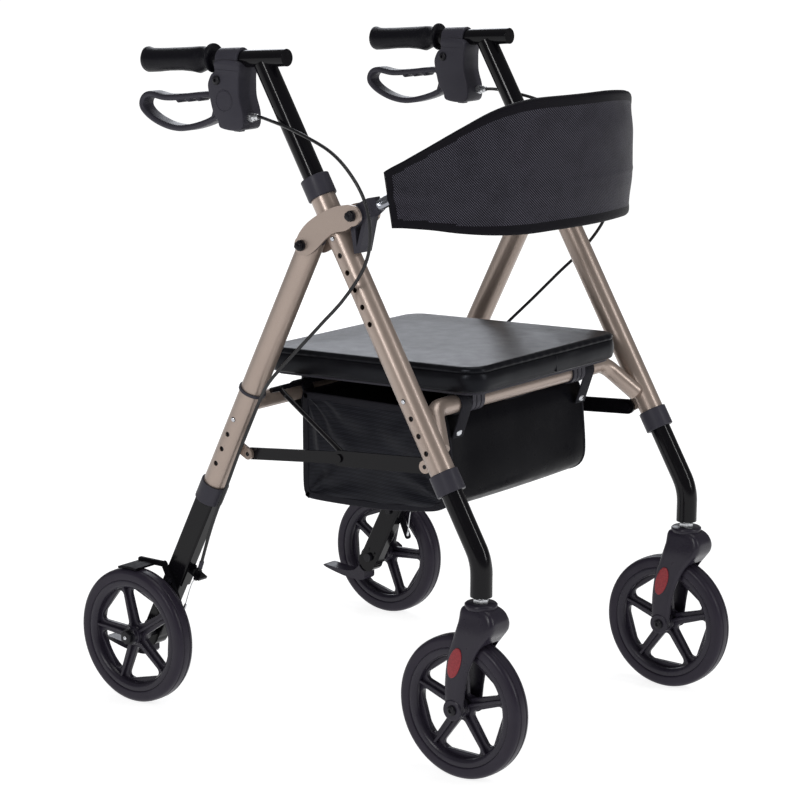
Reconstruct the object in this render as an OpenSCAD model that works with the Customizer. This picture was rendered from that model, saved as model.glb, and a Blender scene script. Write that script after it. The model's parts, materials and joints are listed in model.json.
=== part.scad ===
// Heavy-duty folding rollator walker: four 200 mm wheels, height-adjustable legs and handles,
// loop brakes, padded lift-up seat, under-seat bag and a flip-up curved backrest.
// +X is the way it travels, +Y its left, +Z up. Every side part is drawn for the left side.

/* [Frame] */
// Distance from the middle plane to each leg's axis
leg_y = 254.5; // [245:0.5:262]
// Outer radius of the champagne leg tubes
outer_r = 17.5; // [17.5:0.5:18.5]
// Outer radius of the black telescoping tubes
inner_r = 15; // [14:0.5:15]
// Lean of the front legs from vertical
front_tilt = 30.6; // [30:0.1:31]
// Lean of the rear legs from vertical
rear_tilt = 26.5; // [26:0.1:27]
// Radius of the two crossbars
crossbar_r = 12.5; // [11:0.5:12.5]
// Distance between two height holes
hole_pitch = 25.4; // [24:0.1:25.4]

/* [Handles] */
// Radius of the handlebar tube
bar_r = 12; // [11.5:0.1:12]
// Slope of the handlebar, down towards the user
bar_tilt = 4.4; // [3:0.1:6]
// Radius of the rubber grip
grip_r = 16.5; // [15:0.5:18]

/* [Wheels] */
// Radius of the four wheels
wheel_r = 100; // [100:1:101]
// Width of the tyres
tyre_w = 30; // [26:1:30]
// Distance from the middle plane to the rear wheels
rear_wheel_y = 296; // [295:0.5:297]
// How far the front axle trails behind its swivel
caster_trail = 27; // [25:1:29]
// Radius of the caster's stem
stem_r = 7.5; // [6:0.5:7.5]

/* [Seat and bag] */
// Half the seat's width
seat_half_w = 176; // [160:1:178]
// Length of the seat from front to back
seat_len = 380; // [340:1:384]
// Thickness of the seat cushion
seat_t = 36; // [28:1:40]
// Half the bag's width
bag_half_w = 161; // [150:1:166]

/* [Backrest] */
// Half the backrest band's width, to the middle of its padding
band_half_w = 234; // [230:1:234]
// How far the backrest band bows forward
band_bow = 200; // [180:1:205]
// Thickness of the backrest band
band_t = 16; // [12:1:16]

/* [Hidden] */
$fn = 64;
champagne = "#a99a8c";
gloss_black = "#17171a";
plastic = "#35353b";
dark_plastic = "#2b2a30";
steel = "#c3c6ca";
red = "#97363a";
vinyl = "#1d1e22";
nylon = "#202226";

slip = 0.3;       // radial gap between telescoping tubes
run = 0.05;       // radial gap of a pin in its bore
edge_lap = 0.02;  // how far a flat side sits inside the rounds it joins
bend_lap = 0.06;  // how much thicker a tube is where it bends
wall = 2;

front_foot = [252.4, 403.8];
front_len = 437;
rear_axle = [-283, wheel_r];
rear_up = [sin(rear_tilt), cos(rear_tilt)];
rear_axle_s = -253.8;
rear_foot = rear_axle - rear_axle_s * rear_up;
rear_pivot_s = 419.1;
rear_tube_end = 427;
cable_tie_s = 173;
rear_pivot = rear_foot + rear_pivot_s * rear_up;
backrest_pivot = [104.8, 750.4];
collar_h = 30;
collar_r = 20.5;
handle_button_d = 362.3;
front_button_d = 121.9;
rear_button_s = 127.7;
handle_holes = 6;
leg_holes = 4;
button_r = 3.4;
hole_r = 3.8;
bolt_r = 4;

plate_gap = outer_r + 0.4;
plate_t = 4;
plate_outline = [[8.5, 708], [22, 729], [45, 746], [70, 758], [88, 763], [104.8, 764.4],
    [118, 756], [118, 744], [104.8, 736.4], [94, 729.5], [74, 724.5], [62, 717], [45, 701],
    [31, 691], [18.7, 688.6]];

seat_pivot = [190, 487];
crossbar_straight = 187;
rear_bar = [-93, 467];
front_lug = [-29, 34];     // in the front leg's own frame: across it, along it
rear_lug = [27, 80.6];
front_lug_at = front_foot + front_lug.x * [cos(front_tilt), sin(front_tilt)]
    + front_lug.y * [-sin(front_tilt), cos(front_tilt)];
rear_lug_at = rear_foot + rear_lug.x * [cos(rear_tilt), -sin(rear_tilt)]
    + rear_lug.y * rear_up;
mid_pivot = [57, 406];
link_t = 4;
rear_link_y = 236.5;
front_link_y = 241;
front_link_r = 11;
rear_link_r = 8.5;
rod_r = 4;
rod_y = 229;
rod_span = [-65, 486];

stem_x = 310;
axle_z = wheel_r;
front_axle = [stem_x - caster_trail, axle_z];
bend_r = 70;
bend_z = front_foot.y - bend_r * sin(front_tilt)
    - (stem_x - bend_r * (1 - cos(front_tilt)) - front_foot.x) / tan(front_tilt);
leg_end_z = 258;
crown_z = 241;
fork_gap = 19;
axle_r = 4;
hub_r = 14;

bar_front = [-24.3, 951.5];
bar_len = 252;
grip_from = 131;
grip_len = 129;
lever_pivot = [-134.4, 915.9];
brake_pin = rear_axle + 93 * rear_up;
brake_tail = brake_pin + [20, -42];
lever_half = 13;
cheek_t = 6.5;
brake_y = 256;

// ---------- helpers ----------
module side(s) {
    if (s > 0) children();
    else mirror([0, 1, 0]) children();
}

module both_sides() {
    for (s = [-1, 1]) side(s) children();
}

// A flat outline in the X-Z plane, thickened from y0 to y1
module slab(y0, y1) {
    translate([0, y1, 0]) rotate([90, 0, 0]) linear_extrude(y1 - y0) children();
}

module pin(at, y0, y1, r) {
    translate([at.x, y1, at.y]) rotate([90, 0, 0]) cylinder(h = y1 - y0, r = r);
}

module bar2d(a, b, r) {
    half = r - edge_lap;
    translate(a) circle(r);
    translate(b) circle(r);
    translate(a) rotate(atan2(b.y - a.y, b.x - a.x)) translate([0, -half])
        square([norm(b - a), 2 * half]);
}

module chain2d(points, r) {
    for (i = [1:len(points) - 1]) bar2d(points[i - 1], points[i], r);
}

// A bent strip in the X-Z plane, between two angles of a circle
module arc2d(at, r, half, from, to) {
    translate(at) intersection() {
        difference() {
            circle(r + half, $fn = 128);
            circle(r - half, $fn = 128);
        }
        polygon([[0, 0], 2 * r * [cos(from), sin(from)], 2 * r * [cos(to), sin(to)]]);
    }
}

module rounded2d(w, h, r) {
    square([w - 2 * r, h], center = true);
    square([w, h - 2 * r], center = true);
    for (x = [-1, 1], y = [-1, 1]) translate([x * (w / 2 - r), y * (h / 2 - r)]) circle(r);
}

module tube(r, inside, z0, z1) {
    translate([0, 0, z0]) difference() {
        cylinder(h = z1 - z0, r = r);
        translate([0, 0, -1]) cylinder(h = z1 - z0 + 2, r = inside);
    }
}

module on_front_leg() {
    translate([front_foot.x, leg_y, front_foot.y]) rotate([0, -front_tilt, 0]) children();
}

module on_rear_leg() {
    translate([rear_foot.x, leg_y, rear_foot.y]) rotate([0, rear_tilt, 0]) children();
}

module on_handlebar() {
    translate([bar_front.x, brake_y, bar_front.y]) rotate([0, -90 - bar_tilt, 0]) children();
}

// A peg that points out of the tube's outer side
module outward(z, r, y0, y1) {
    translate([0, y1, z]) rotate([90, 0, 0]) cylinder(h = y1 - y0, r = r);
}

function unit(v) = v / norm(v);
function tangent(p, i) = unit(p[min(i + 1, len(p) - 1)] - p[max(i - 1, 0)]);
function hoop(c, t, ref, r, n) = let(u = unit(cross(t, ref)), v = cross(t, u))
    [for (k = [0:n - 1]) c + r * (cos(360 * k / n) * u + sin(360 * k / n) * v)];
function smooth(a, b, c, d, t) = 0.5 * (2 * b + (c - a) * t
    + (2 * a - 5 * b + 4 * c - d) * t * t + (3 * b - a - 3 * c + d) * t * t * t);
function through(p, steps) = let(last = len(p) - 1)
    [for (i = [0:last - 1], k = [0:steps - 1])
        smooth(p[max(i - 1, 0)], p[i], p[i + 1], p[min(i + 2, last)], k / steps), p[last]];

function around(p, steps) = let(n = len(p)) [for (i = [0:n - 1], k = [0:steps - 1])
    smooth(p[(i + n - 1) % n], p[i], p[(i + 1) % n], p[(i + 2) % n], k / steps)];

// A round tube along a line of points, as n-sided rings
module sweep(path, r, n, ref) {
    m = len(path);
    points = [for (i = [0:m - 1]) each hoop(path[i], tangent(path, i), ref, r, n)];
    skin = [for (i = [0:m - 2], k = [0:n - 1])
        [i * n + k, (i + 1) * n + k, (i + 1) * n + (k + 1) % n, i * n + (k + 1) % n]];
    start = [for (k = [0:n - 1]) k];
    end = [for (k = [0:n - 1]) m * n - 1 - k];
    polyhedron(points, concat([start, end], skin));
}

// ---------- front frame ----------
module hinge_plate2d() {
    polygon(around(plate_outline, 4));
    translate(rear_pivot) circle(12.5);
    translate(backrest_pivot) circle(14);
}

module front_leg_tube(s) {
    color(champagne) side(s) difference() {
        union() {
            on_front_leg() translate([0, 0, -2]) cylinder(h = front_len + 4, r = outer_r);
            for (y = [-1, 1]) {
                slab(leg_y + (y > 0 ? plate_gap : -plate_gap - plate_t),
                    leg_y + (y > 0 ? plate_gap + plate_t : -plate_gap)) hinge_plate2d();
            }
            pin([57, 738], leg_y - plate_gap - 1, leg_y + plate_gap + 1, 13);
            slab(leg_y - 9, leg_y - 4) bar2d(front_lug_at, front_foot + front_lug.y
                * [-sin(front_tilt), cos(front_tilt)], 9);
        }
        on_front_leg() translate([0, 0, -10]) cylinder(h = front_len + 20, r = inner_r + slip);
        on_front_leg() for (i = [0:handle_holes - 1])
            outward(handle_button_d - i * hole_pitch, hole_r, 0, outer_r + 2);
        on_front_leg() for (i = [0:leg_holes - 1])
            outward(front_button_d - i * hole_pitch, hole_r, 0, outer_r + 2);
        for (at = [rear_pivot, backrest_pivot]) pin(at, leg_y - 30, leg_y + 30, bolt_r + run);
        pin(front_lug_at, leg_y - 12, leg_y, 3 + run);
    }
}

// The bar turns 60 degrees towards the leg, downwards and forwards
module bent_end() {
    r = 30;
    turn = 60;
    translate([seat_pivot.x, crossbar_straight, seat_pivot.y]) rotate([0, 49.5, 0]) {
        translate([r, 0, 0]) rotate([0, 0, 180 - turn]) rotate_extrude(angle = turn)
            translate([r, 0]) circle(crossbar_r + bend_lap);
        translate([r - r * cos(turn), r * sin(turn), 0]) rotate([0, 90, 90 - turn])
            translate([0, 0, -1]) cylinder(h = 51, r = crossbar_r);
    }
}

module front_crossbar() {
    color(champagne) difference() {
        union() {
            pin(seat_pivot, -crossbar_straight - 1, crossbar_straight + 1, crossbar_r);
            both_sides() bent_end();
        }
        both_sides() on_front_leg() translate([0, 0, -10]) cylinder(h = 200, r = outer_r - 0.5);
        both_sides() translate([150, leg_y, 300]) cube([200, 60, 250]);
    }
}

module bolt(at, y0, y1, r, head_r) {
    pin(at, y0, y1, r);
    pin(at, y1, y1 + 3.5, head_r);
    pin(at, y1 + 3.5, y1 + 5.5, head_r * 0.72);
    pin(at, y0 - 4.5, y0, head_r * 0.9);
}

module hinge_bolts() {
    reach = plate_gap + plate_t;
    color(gloss_black) both_sides() for (at = [rear_pivot, backrest_pivot])
        bolt(at, leg_y - reach, leg_y + reach, bolt_r, 7.5);
}

module collar(z) {
    difference() {
        translate([0, 0, z - collar_h / 2]) cylinder(h = collar_h, r = collar_r);
        translate([0, 0, z - collar_h]) cylinder(h = 2 * collar_h, r = inner_r + slip);
        children();
    }
}

module front_leg_collars() {
    color(plastic) both_sides() on_front_leg() {
        collar(0) translate([0, 0, -2.1]) cylinder(h = 40, r = outer_r + run);
        collar(front_len) translate([0, 0, front_len - 40]) cylinder(h = 42.1, r = outer_r + run);
    }
}

// ---------- handles ----------
module handle_tube(s) {
    color(gloss_black) side(s) difference() {
        union() {
            on_front_leg() translate([0, 0, 335]) cylinder(h = 290, r = inner_r);
            on_handlebar() translate([0, 0, 2]) cylinder(h = bar_len, r = bar_r);
        }
        on_front_leg() translate([0, 0, 330]) cylinder(h = 270, r = inner_r - wall);
        on_front_leg() outward(handle_button_d, button_r + slip, 0, inner_r + 5);
        on_handlebar() translate([0, 0, 60]) cylinder(h = bar_len, r = bar_r - wall);
        on_handlebar() translate([bar_r, -30, 2]) cube([20, 60, 90]);
    }
    color(plastic) side(s) on_handlebar() cylinder(h = 2, r = bar_r);
}

module grip(s) {
    color(gloss_black) side(s) on_handlebar() translate([0, 0, grip_from]) difference() {
        rotate_extrude() polygon([[0, 0], [20.5, 0], [20.5, 4], [16, 10], [grip_r, 20],
            [grip_r, 60], [grip_r - 1, 90], [grip_r, 118], [grip_r - 1.5, 124], [13, grip_len],
            [0, grip_len]]);
        translate([0, 0, -1]) cylinder(h = bar_len - grip_from + 4, r = bar_r + run);
    }
}

housing_outline = [[-138, 943], [-96, 943], [-97, 918], [-96, 893], [-87.5, 869], [-92.8, 849.3],
    [-128.8, 849.5], [-133.8, 861.7], [-142.8, 871.7], [-150.2, 897.3], [-152.7, 908.7],
    [-147, 922], [-139.5, 927]];

module brake_housing(s) {
    cheek = lever_half + slip;
    color(plastic) side(s) difference() {
        union() {
            on_handlebar() translate([0, 0, 76]) cylinder(h = 42, r = bar_r + 3.5);
            slab(brake_y - cheek - cheek_t, brake_y + cheek + cheek_t) polygon(housing_outline);
            pin([-121, 888.4], brake_y, brake_y + cheek + cheek_t + 0.6, 14.5);
        }
        on_handlebar() translate([0, 0, 70]) cylinder(h = 60, r = bar_r + run);
        slab(brake_y - cheek, brake_y + cheek) polygon([[-104, 925], [-103, 893], [-98, 862],
            [-104, 840], [-160, 840], [-170, 925]]);
        pin(lever_pivot, brake_y - 40, brake_y + 40, 3);
        translate([-110, brake_y + 6, 864]) rotate([0, 83, 0]) cylinder(h = 40, r = 3.5);
    }
    color(gloss_black) side(s)
        bolt(lever_pivot, brake_y - cheek - cheek_t, brake_y + cheek + cheek_t, 3, 5.5);
    color(steel) side(s) translate([-110, brake_y + 6, 864]) rotate([0, 83, 0]) {
        translate([0, 0, 12]) cylinder(h = 16, r = 3.5);
        translate([0, 0, 22.5]) cylinder(h = 7, r = 5.5, $fn = 6);
        translate([0, 0, 29.5]) cylinder(h = 9, r = 4);
    }
}

lever_loop = [[-155, 893], [-176, 892], [-204, 888], [-242, 884.5], [-272, 888], [-284, 880],
    [-285, 867], [-268, 855], [-240, 845], [-211, 843.5], [-176, 851], [-152, 861]];

module brake_lever(s) {
    color(plastic) side(s) difference() {
        slab(brake_y - lever_half, brake_y + lever_half) {
            difference() {
                offset(r = 4, $fn = 24) polygon(lever_loop);
                offset(r = -4, $fn = 24) polygon(lever_loop);
            }
            translate(lever_pivot) circle(8);
            polygon([[-142, 914], [-156, 897], [-149, 878], [-154, 857.5], [-131, 866],
                [-116, 885], [-114, 905], [-127, 915]]);
            for (x = [-174, -194, -214]) translate([x, 890 + (x + 174) * 0.11 - 4]) circle(4.5);
        }
        pin(lever_pivot, brake_y - 40, brake_y + 40, 3 + run);
    }
}

// A domed snap button on a leaf spring inside the tube
module snap_button(z) {
    translate([0, outer_r - 7, z]) rotate([-90, 0, 0]) {
        cylinder(h = 7.4, r = button_r);
        translate([0, 0, 7.4]) cylinder(h = 1, r1 = button_r, r2 = button_r - 1.2);
    }
    translate([-3, outer_r - 8, z - 38]) cube([6, 1, 44]);
}

module handle_button(s) {
    color(steel) side(s) on_front_leg() snap_button(handle_button_d);
}

module front_leg_button(s) {
    color(steel) side(s) on_front_leg() snap_button(front_button_d);
}

module rear_leg_button(s) {
    color(steel) side(s) on_rear_leg() snap_button(rear_button_s);
}

// ---------- lower front legs and casters ----------
module front_leg_lower(s) {
    joint_d = -(front_foot.y - bend_z - bend_r * sin(front_tilt)) / cos(front_tilt);
    color(gloss_black) side(s) difference() {
        union() {
            on_front_leg() translate([0, 0, joint_d - 1]) cylinder(h = 149 - joint_d, r = inner_r);
            translate([stem_x - bend_r, leg_y, bend_z]) rotate([90, 0, 0])
                rotate_extrude(angle = front_tilt) translate([bend_r, 0])
                    circle(inner_r + bend_lap);
            translate([stem_x, leg_y, leg_end_z]) cylinder(h = bend_z - leg_end_z + 1, r = inner_r);
        }
        on_front_leg() translate([0, 0, joint_d + 20]) cylinder(h = 300, r = inner_r - wall);
        on_front_leg() outward(front_button_d, button_r + slip, 0, inner_r + 5);
        translate([stem_x, leg_y, leg_end_z - 1]) cylinder(h = 36, r = stem_r + run);
    }
}

fork_side = [[289, 242], [286, 224], [280, 202], [271, 176], [266.5, 140], [268, 100], [298, 92],
    [302, 130], [308, 158], [320, 184], [333, 202], [342, 214], [344, 227], [338, 239], [326, 245]];
fork_front = [[-19, 246], [-23, 236], [-25.5, 222], [-26, 195], [-26, 80], [26, 80], [26, 195],
    [25.5, 222], [23, 236], [19, 246]];

module caster_fork(s) {
    color(dark_plastic) side(s) difference() {
        union() {
            intersection() {
                slab(leg_y - 30, leg_y + 30) {
                    polygon(fork_side);
                    translate(front_axle) circle(15.5);
                }
                translate([200, leg_y, 0]) rotate([90, 0, 90]) linear_extrude(200)
                    polygon(fork_front);
            }
            translate([stem_x, leg_y, crown_z]) cylinder(h = 9, r = 22.5);
        }
        slab(leg_y - fork_gap, leg_y + fork_gap) {
            translate(front_axle) circle(wheel_r + 5);
            polygon([front_axle + [-60, 0], front_axle + [60, 0], [360, 206], [330, 200]]);
        }
        pin(front_axle, leg_y - 40, leg_y + 40, axle_r);
        translate([stem_x, leg_y, 225]) cylinder(h = 40, r = stem_r);
        for (y = [-1, 1]) reflector(y, 0);
    }
}

// An oval reflector, let into the outer face of a fork arm
module reflector(y, shrink) {
    translate([0, leg_y + (y > 0 ? 25 : -27), 0]) slab(0, 2)
        translate([286.5, 167]) rotate(-17) polygon([for (a = [0:12:359])
            [(10 - shrink) * cos(a), (23 - shrink) * sin(a)]]);
}

module caster_reflectors(s) {
    color(red) side(s) for (y = [-1, 1]) reflector(y, run);
}

module caster_hardware(s) {
    color(steel) side(s) {
        translate([stem_x, leg_y, 225]) cylinder(h = 65, r = stem_r);
        translate([stem_x, leg_y, crown_z + 9]) cylinder(h = 5, r = 11, $fn = 6);
        pin(front_axle, leg_y - 26, leg_y + 26, axle_r);
        for (y = [-1, 1]) pin(front_axle, leg_y + (y > 0 ? 26 : -29), leg_y + (y > 0 ? 29 : -26), 7);
        for (y = [-1, 1]) translate([0, y * 18.2, 0]) difference() {
            pin(front_axle, leg_y - 0.6, leg_y + 0.6, 8);
            pin(front_axle, leg_y - 2, leg_y + 2, axle_r);
        }
    }
}

// ---------- wheels, drawn on the origin with the axle along Y ----------
module window2d() {
    corner = 4.5;
    inner = [28, 0];
    outer_a = 25.2;
    outer = [for (a = [-outer_a, outer_a]) 62 * [cos(a), sin(a)]];
    polygon([inner, outer[0], outer[1]]);
    chain2d([inner, outer[0], outer[1], inner], corner);
}

module rim(hub_half) {
    difference() {
        union() {
            rotate([90, 0, 0]) rotate_extrude() polygon([[71, -11], [74, -12], [83, -12],
                [83, 12], [74, 12], [71, 11]]);
            pin([0, 0], -4, 4, 72);
            pin([0, 0], -hub_half, hub_half, hub_r);
            for (i = [0:4]) rotate([0, 72 * i, 0]) translate([8, -9, -2.2]) cube([64, 18, 4.4]);
        }
        for (i = [0:4]) rotate([0, 72 * i + 36, 0]) slab(-20, 20) window2d();
        pin([0, 0], -40, 40, axle_r + run);
    }
}

module tyre() {
    half = tyre_w / 2;
    rotate([90, 0, 0]) rotate_extrude() polygon([[83 + run, -half + 1.5], [86, -half], [94, -half],
        [98, -half + 4], [wheel_r, -5], [wheel_r, -2], [98.6, -1], [98.6, 1], [wheel_r, 2],
        [wheel_r, 5], [98, half - 4], [94, half], [86, half], [83 + run, half - 1.5]]);
}

module front_wheel_at(s, phase) {
    side(s) translate([front_axle.x, leg_y, front_axle.y]) rotate([0, -phase, 0]) children();
}

module rear_wheel_at(s, phase) {
    side(s) translate([rear_axle.x, rear_wheel_y, rear_axle.y]) rotate([0, -phase, 0]) children();
}

module front_rim(s, phase) {
    color(dark_plastic) front_wheel_at(s, phase) rim(17.3);
}

module front_tyre(s) {
    color(dark_plastic) front_wheel_at(s, 0) tyre();
}

module rear_rim(s, phase) {
    color(dark_plastic) rear_wheel_at(s, phase) rim(17.3);
}

module rear_tyre(s) {
    color(dark_plastic) rear_wheel_at(s, 0) tyre();
}

// ---------- rear frame ----------
module rear_leg_tube(s) {
    color(champagne) side(s) difference() {
        union() {
            on_rear_leg() translate([0, 0, -2]) cylinder(h = rear_tube_end + 2, r = outer_r);
            slab(leg_y - 13.5, leg_y - 8.5)
                bar2d(rear_lug_at, rear_foot + rear_lug.y * rear_up, 8);
        }
        on_rear_leg() translate([0, 0, -10]) cylinder(h = 500, r = inner_r + slip);
        on_rear_leg() for (i = [0:leg_holes - 1])
            outward(rear_button_s - i * hole_pitch, hole_r, 0, outer_r + 2);
        pin(rear_pivot, leg_y - 30, leg_y + 30, bolt_r + run);
        pin(rear_lug_at, leg_y - 20, leg_y, 3 + run);
    }
}

module rear_crossbar() {
    color(champagne) difference() {
        pin(rear_bar, -leg_y + 4, leg_y - 4, crossbar_r);
        both_sides() on_rear_leg() cylinder(h = 300, r = outer_r - 0.5);
        both_sides() translate([rear_bar.x - 50, leg_y - 5, rear_bar.y - 50]) cube([100, 20, 100]);
    }
}

// Height collars, top plugs and the cable ties of both rear legs
module rear_leg_fittings() {
    color(plastic) both_sides() on_rear_leg() {
        collar(0) translate([0, 0, -2.1]) cylinder(h = 40, r = outer_r + run);
        difference() {
            union() {
                translate([0, 0, rear_tube_end]) cylinder(h = 7, r = outer_r);
                translate([0, 0, rear_tube_end - 24]) cylinder(h = 24, r = inner_r + 0.2);
            }
            outward(rear_pivot_s, bolt_r + run, -30, 30);
        }
        tube(outer_r + 2.4, outer_r + run, cable_tie_s, cable_tie_s + 4);
    }
}

module rear_leg_lower(s) {
    color(gloss_black) side(s) difference() {
        union() {
            on_rear_leg() translate([0, 0, -20]) cylinder(h = 175, r = inner_r);
            on_rear_leg() translate([0, 0, rear_axle_s]) linear_extrude(-collar_h / 2 - 1 - rear_axle_s)
                rounded2d(33, 21, 3);
            pin(rear_axle - 9 * rear_up, leg_y - 10.5, leg_y + 10.5, 16.5);
            pin(rear_axle, leg_y - 10.5, leg_y + 10.5, 16.5);
        }
        on_rear_leg() translate([0, 0, 10]) cylinder(h = 200, r = inner_r - wall);
        on_rear_leg() translate([0, 0, rear_axle_s + 22]) linear_extrude(206)
            rounded2d(29, 17, 2);
        on_rear_leg() outward(rear_button_s, button_r + slip, 0, inner_r + 5);
        pin(rear_axle, leg_y - 30, leg_y + 30, axle_r);
        pin(brake_pin, leg_y - 30, leg_y + 30, 3);
    }
}

pedal_side = [[-296, 88], [-312, 74], [-336, 70], [-372, 73], [-373, 69], [-336, 61], [-305, 59],
    [-290, 64]];

module step_pedal(s) {
    color(dark_plastic) side(s) difference() {
        slab(leg_y - 13, leg_y + 13) polygon(around(pedal_side, 3));
        pin(rear_axle, leg_y - 40, leg_y + 40, 17);
        pin(rear_axle - 9 * rear_up, leg_y - 40, leg_y + 40, 16.7);
        for (i = [0:3]) translate([-346 + 13 * i, leg_y - 10, 50]) cube([9, 20, 15.5]);
    }
}

module rear_hardware(s) {
    // axle with its nut, spacer and washer, and the brake arm's pivot bolt
    color(steel) side(s) {
        bolt(brake_pin, leg_y - 10.5, leg_y + 15.5, 3, 5);
        pin(rear_axle, leg_y - 10.5, rear_wheel_y + 18, axle_r);
        pin(rear_axle, leg_y - 15.5, leg_y - 10.5, 7);
        pin(rear_axle, rear_wheel_y + 18, rear_wheel_y + 24, 8.5);
        difference() {
            pin(rear_axle, leg_y + 10.5, rear_wheel_y - 17.6, 9);
            pin(rear_axle, leg_y, rear_wheel_y, axle_r);
        }
    }
    // cable stop bracket with its adjusting barrel, on the leg's front side
    color(plastic) side(s) difference() {
        union() {
            on_rear_leg() translate([16.6, -9, -160]) cube([3, 18, 34]);
            on_rear_leg() translate([16.6, -9, -132]) cube([26, 18, 3.5]);
        }
        on_rear_leg() translate([31, 0, -140]) cylinder(h = 20, r = 3.5);
    }
    color(steel) side(s) on_rear_leg() {
        translate([31, 0, -140]) cylinder(h = 22, r = 3.5);
        translate([31, 0, -128.5]) cylinder(h = 5, r = 5.5, $fn = 6);
    }
}

shoe_from = 83.5;
shoe_to = 103.5;
shoe_gap = 3;
function shoe_over_tyre(a) = rear_axle + (wheel_r + shoe_gap + 3) * [cos(a), sin(a)];

// The brake arm turns on the leg's outer side and holds a bent strip over the tyre
module brake_shoe(s) {
    color(gloss_black) side(s) difference() {
        union() {
            slab(leg_y + 11, leg_y + 15) {
                chain2d([brake_tail, brake_pin, brake_pin + [-12, 22]], 5);
                bar2d(brake_pin + [-12, 22], shoe_over_tyre(shoe_to - 4), 4);
            }
            slab(leg_y + 12, rear_wheel_y + 13)
                arc2d(rear_axle, wheel_r + shoe_gap, 1.6, shoe_from, shoe_to);
        }
        pin(brake_pin, leg_y, leg_y + 30, 3 + run);
    }
}

// ---------- folding links ----------
// Each flat link carries the rivet that turns in its leg's lug, and its half of the mid pivot
module front_links() {
    color(gloss_black) both_sides() {
        slab(front_link_y, front_link_y + link_t) bar2d(mid_pivot, front_lug_at, front_link_r);
        pin(front_lug_at, front_link_y + 1, leg_y - 3.7, 3);
        pin(front_lug_at, front_link_y - 3, front_link_y + 1, 6.5);
        pin(mid_pivot, front_link_y + 1, front_link_y + link_t + 3, 6);
    }
}

module rear_links() {
    color(gloss_black) both_sides() {
        slab(rear_link_y, rear_link_y + link_t) bar2d(mid_pivot, rear_lug_at, rear_link_r);
        pin(rear_lug_at, rear_link_y + 1, leg_y - 8, 3);
        pin(rear_lug_at, rear_link_y - 3, rear_link_y + 1, 6.2);
        pin(mid_pivot, rear_link_y - 2.5, rear_link_y + 1, 6);
    }
}

module lift_rod() {
    color(gloss_black) {
        both_sides() {
            slab(rod_y - rod_r, rod_y + rod_r) bar2d(mid_pivot, rod_span, rod_r);
            pin(mid_pivot, rod_y - rod_r, rod_y + rod_r, 7);
        }
        pin(rod_span, -rod_y, rod_y, rod_r);
    }
}

// ---------- seat ----------
module on_seat() {
    // the underside's front edge, tipped back
    translate([240, 0, 504.46]) rotate([0, -2.2, 0]) children();
}

module seat_cushion() {
    color(vinyl) on_seat() translate([-seat_len / 2, 0, 4]) linear_extrude(seat_t)
        rounded2d(seat_len, 2 * seat_half_w, 30);
}

module seat_board() {
    color(dark_plastic) on_seat() translate([-seat_len / 2, 0, 0]) linear_extrude(3.9)
        rounded2d(seat_len - 16, 2 * seat_half_w - 16, 24);
}

module seat_fittings() {
    color(dark_plastic) both_sides() {
        for (y = [112, 122, 132]) difference() {
            union() {
                pin(seat_pivot, y - 4, y + 4, crossbar_r + 2.9);
                slab(y - 4, y + 4) polygon([[175, 487], [205, 487], [205, 502.9], [175, 501.8]]);
            }
            pin(seat_pivot, 100, 140, crossbar_r + run);
        }
        difference() {
            slab(108, 136) polygon([[172, 499.5], [208, 499.5], [208, 503.1], [172, 501.7]]);
            pin(seat_pivot, 100, 140, crossbar_r + run);
        }
        translate([-97, 130, 480]) cylinder(h = 11, r = 8);
    }
}

// ---------- bag ----------
bag_side = [[-77, 468], [-76, 322], [-68, 314], [66, 319], [166, 333], [184, 345], [190, 366],
    [182, 452], [168, 474]];
bag_inside = [[-74, 468], [-73, 323], [-67, 317], [66, 322], [165, 336], [182, 347], [187, 366],
    [179, 451], [165, 474], [160, 520], [-74, 520]];

module bag() {
    color(nylon) difference() {
        slab(-bag_half_w, bag_half_w) polygon(bag_side);
        slab(-bag_half_w + 3, bag_half_w - 3) polygon(bag_inside);
    }
}

// Two front straps over the crossbar with their snap rivets, and two rear webbing loops
module bag_straps() {
    color(nylon) both_sides() difference() {
        slab(136, 160) {
            translate(seat_pivot) circle(crossbar_r + 2.6);
            chain2d([[203.6, 483], [190, 457], [185.6, 440]], 1.1);
        }
        pin(seat_pivot, 100, 180, crossbar_r + 0.6);
    }
    color(steel) both_sides() translate([187, 148, 447]) rotate([0, 90, 0]) cylinder(h = 3, r = 6.5);
}

// ---------- brake cables ----------
// A point beside the rear leg: s along it, p in front of it, y across
function by_leg(s, p, y) = [rear_foot.x + s * rear_up.x + p * rear_up.y, y,
    rear_foot.y + s * rear_up.y - p * rear_up.x];
cable_points = [[-70.6, 262, 869], [-50, 270, 868], [10, 281, 857], [74, 283, 834], [114, 284, 802],
    [137, 284, 765], [143, 284, 721], [131, 284, 682], [97, 283, 638], [55, 281, 598],
    [9, 280, 554], [-42, 276, 505], by_leg(168, 24, 264), by_leg(90, 23, 262), by_leg(14, 25, 261),
    by_leg(-16, 25, 261), by_leg(-60, 26, 258), by_leg(-117.5, 31, leg_y)];
wire_ends = [by_leg(-141, 31, leg_y), [brake_tail.x + 3, leg_y + 9, brake_tail.y + 3]];

module brake_cable(s) {
    color(gloss_black) side(s) sweep(through(cable_points, 4), 2.4, 8, [0, 1, 0]);
    color(steel) side(s) sweep(wire_ends, 0.8, 8, [0, 1, 0]);
}

// ---------- backrest ----------
function band_at(a, r) = [104.8 + (band_bow + r) * cos(a), (band_half_w + r) * sin(a)];
band_span = 84;

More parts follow.
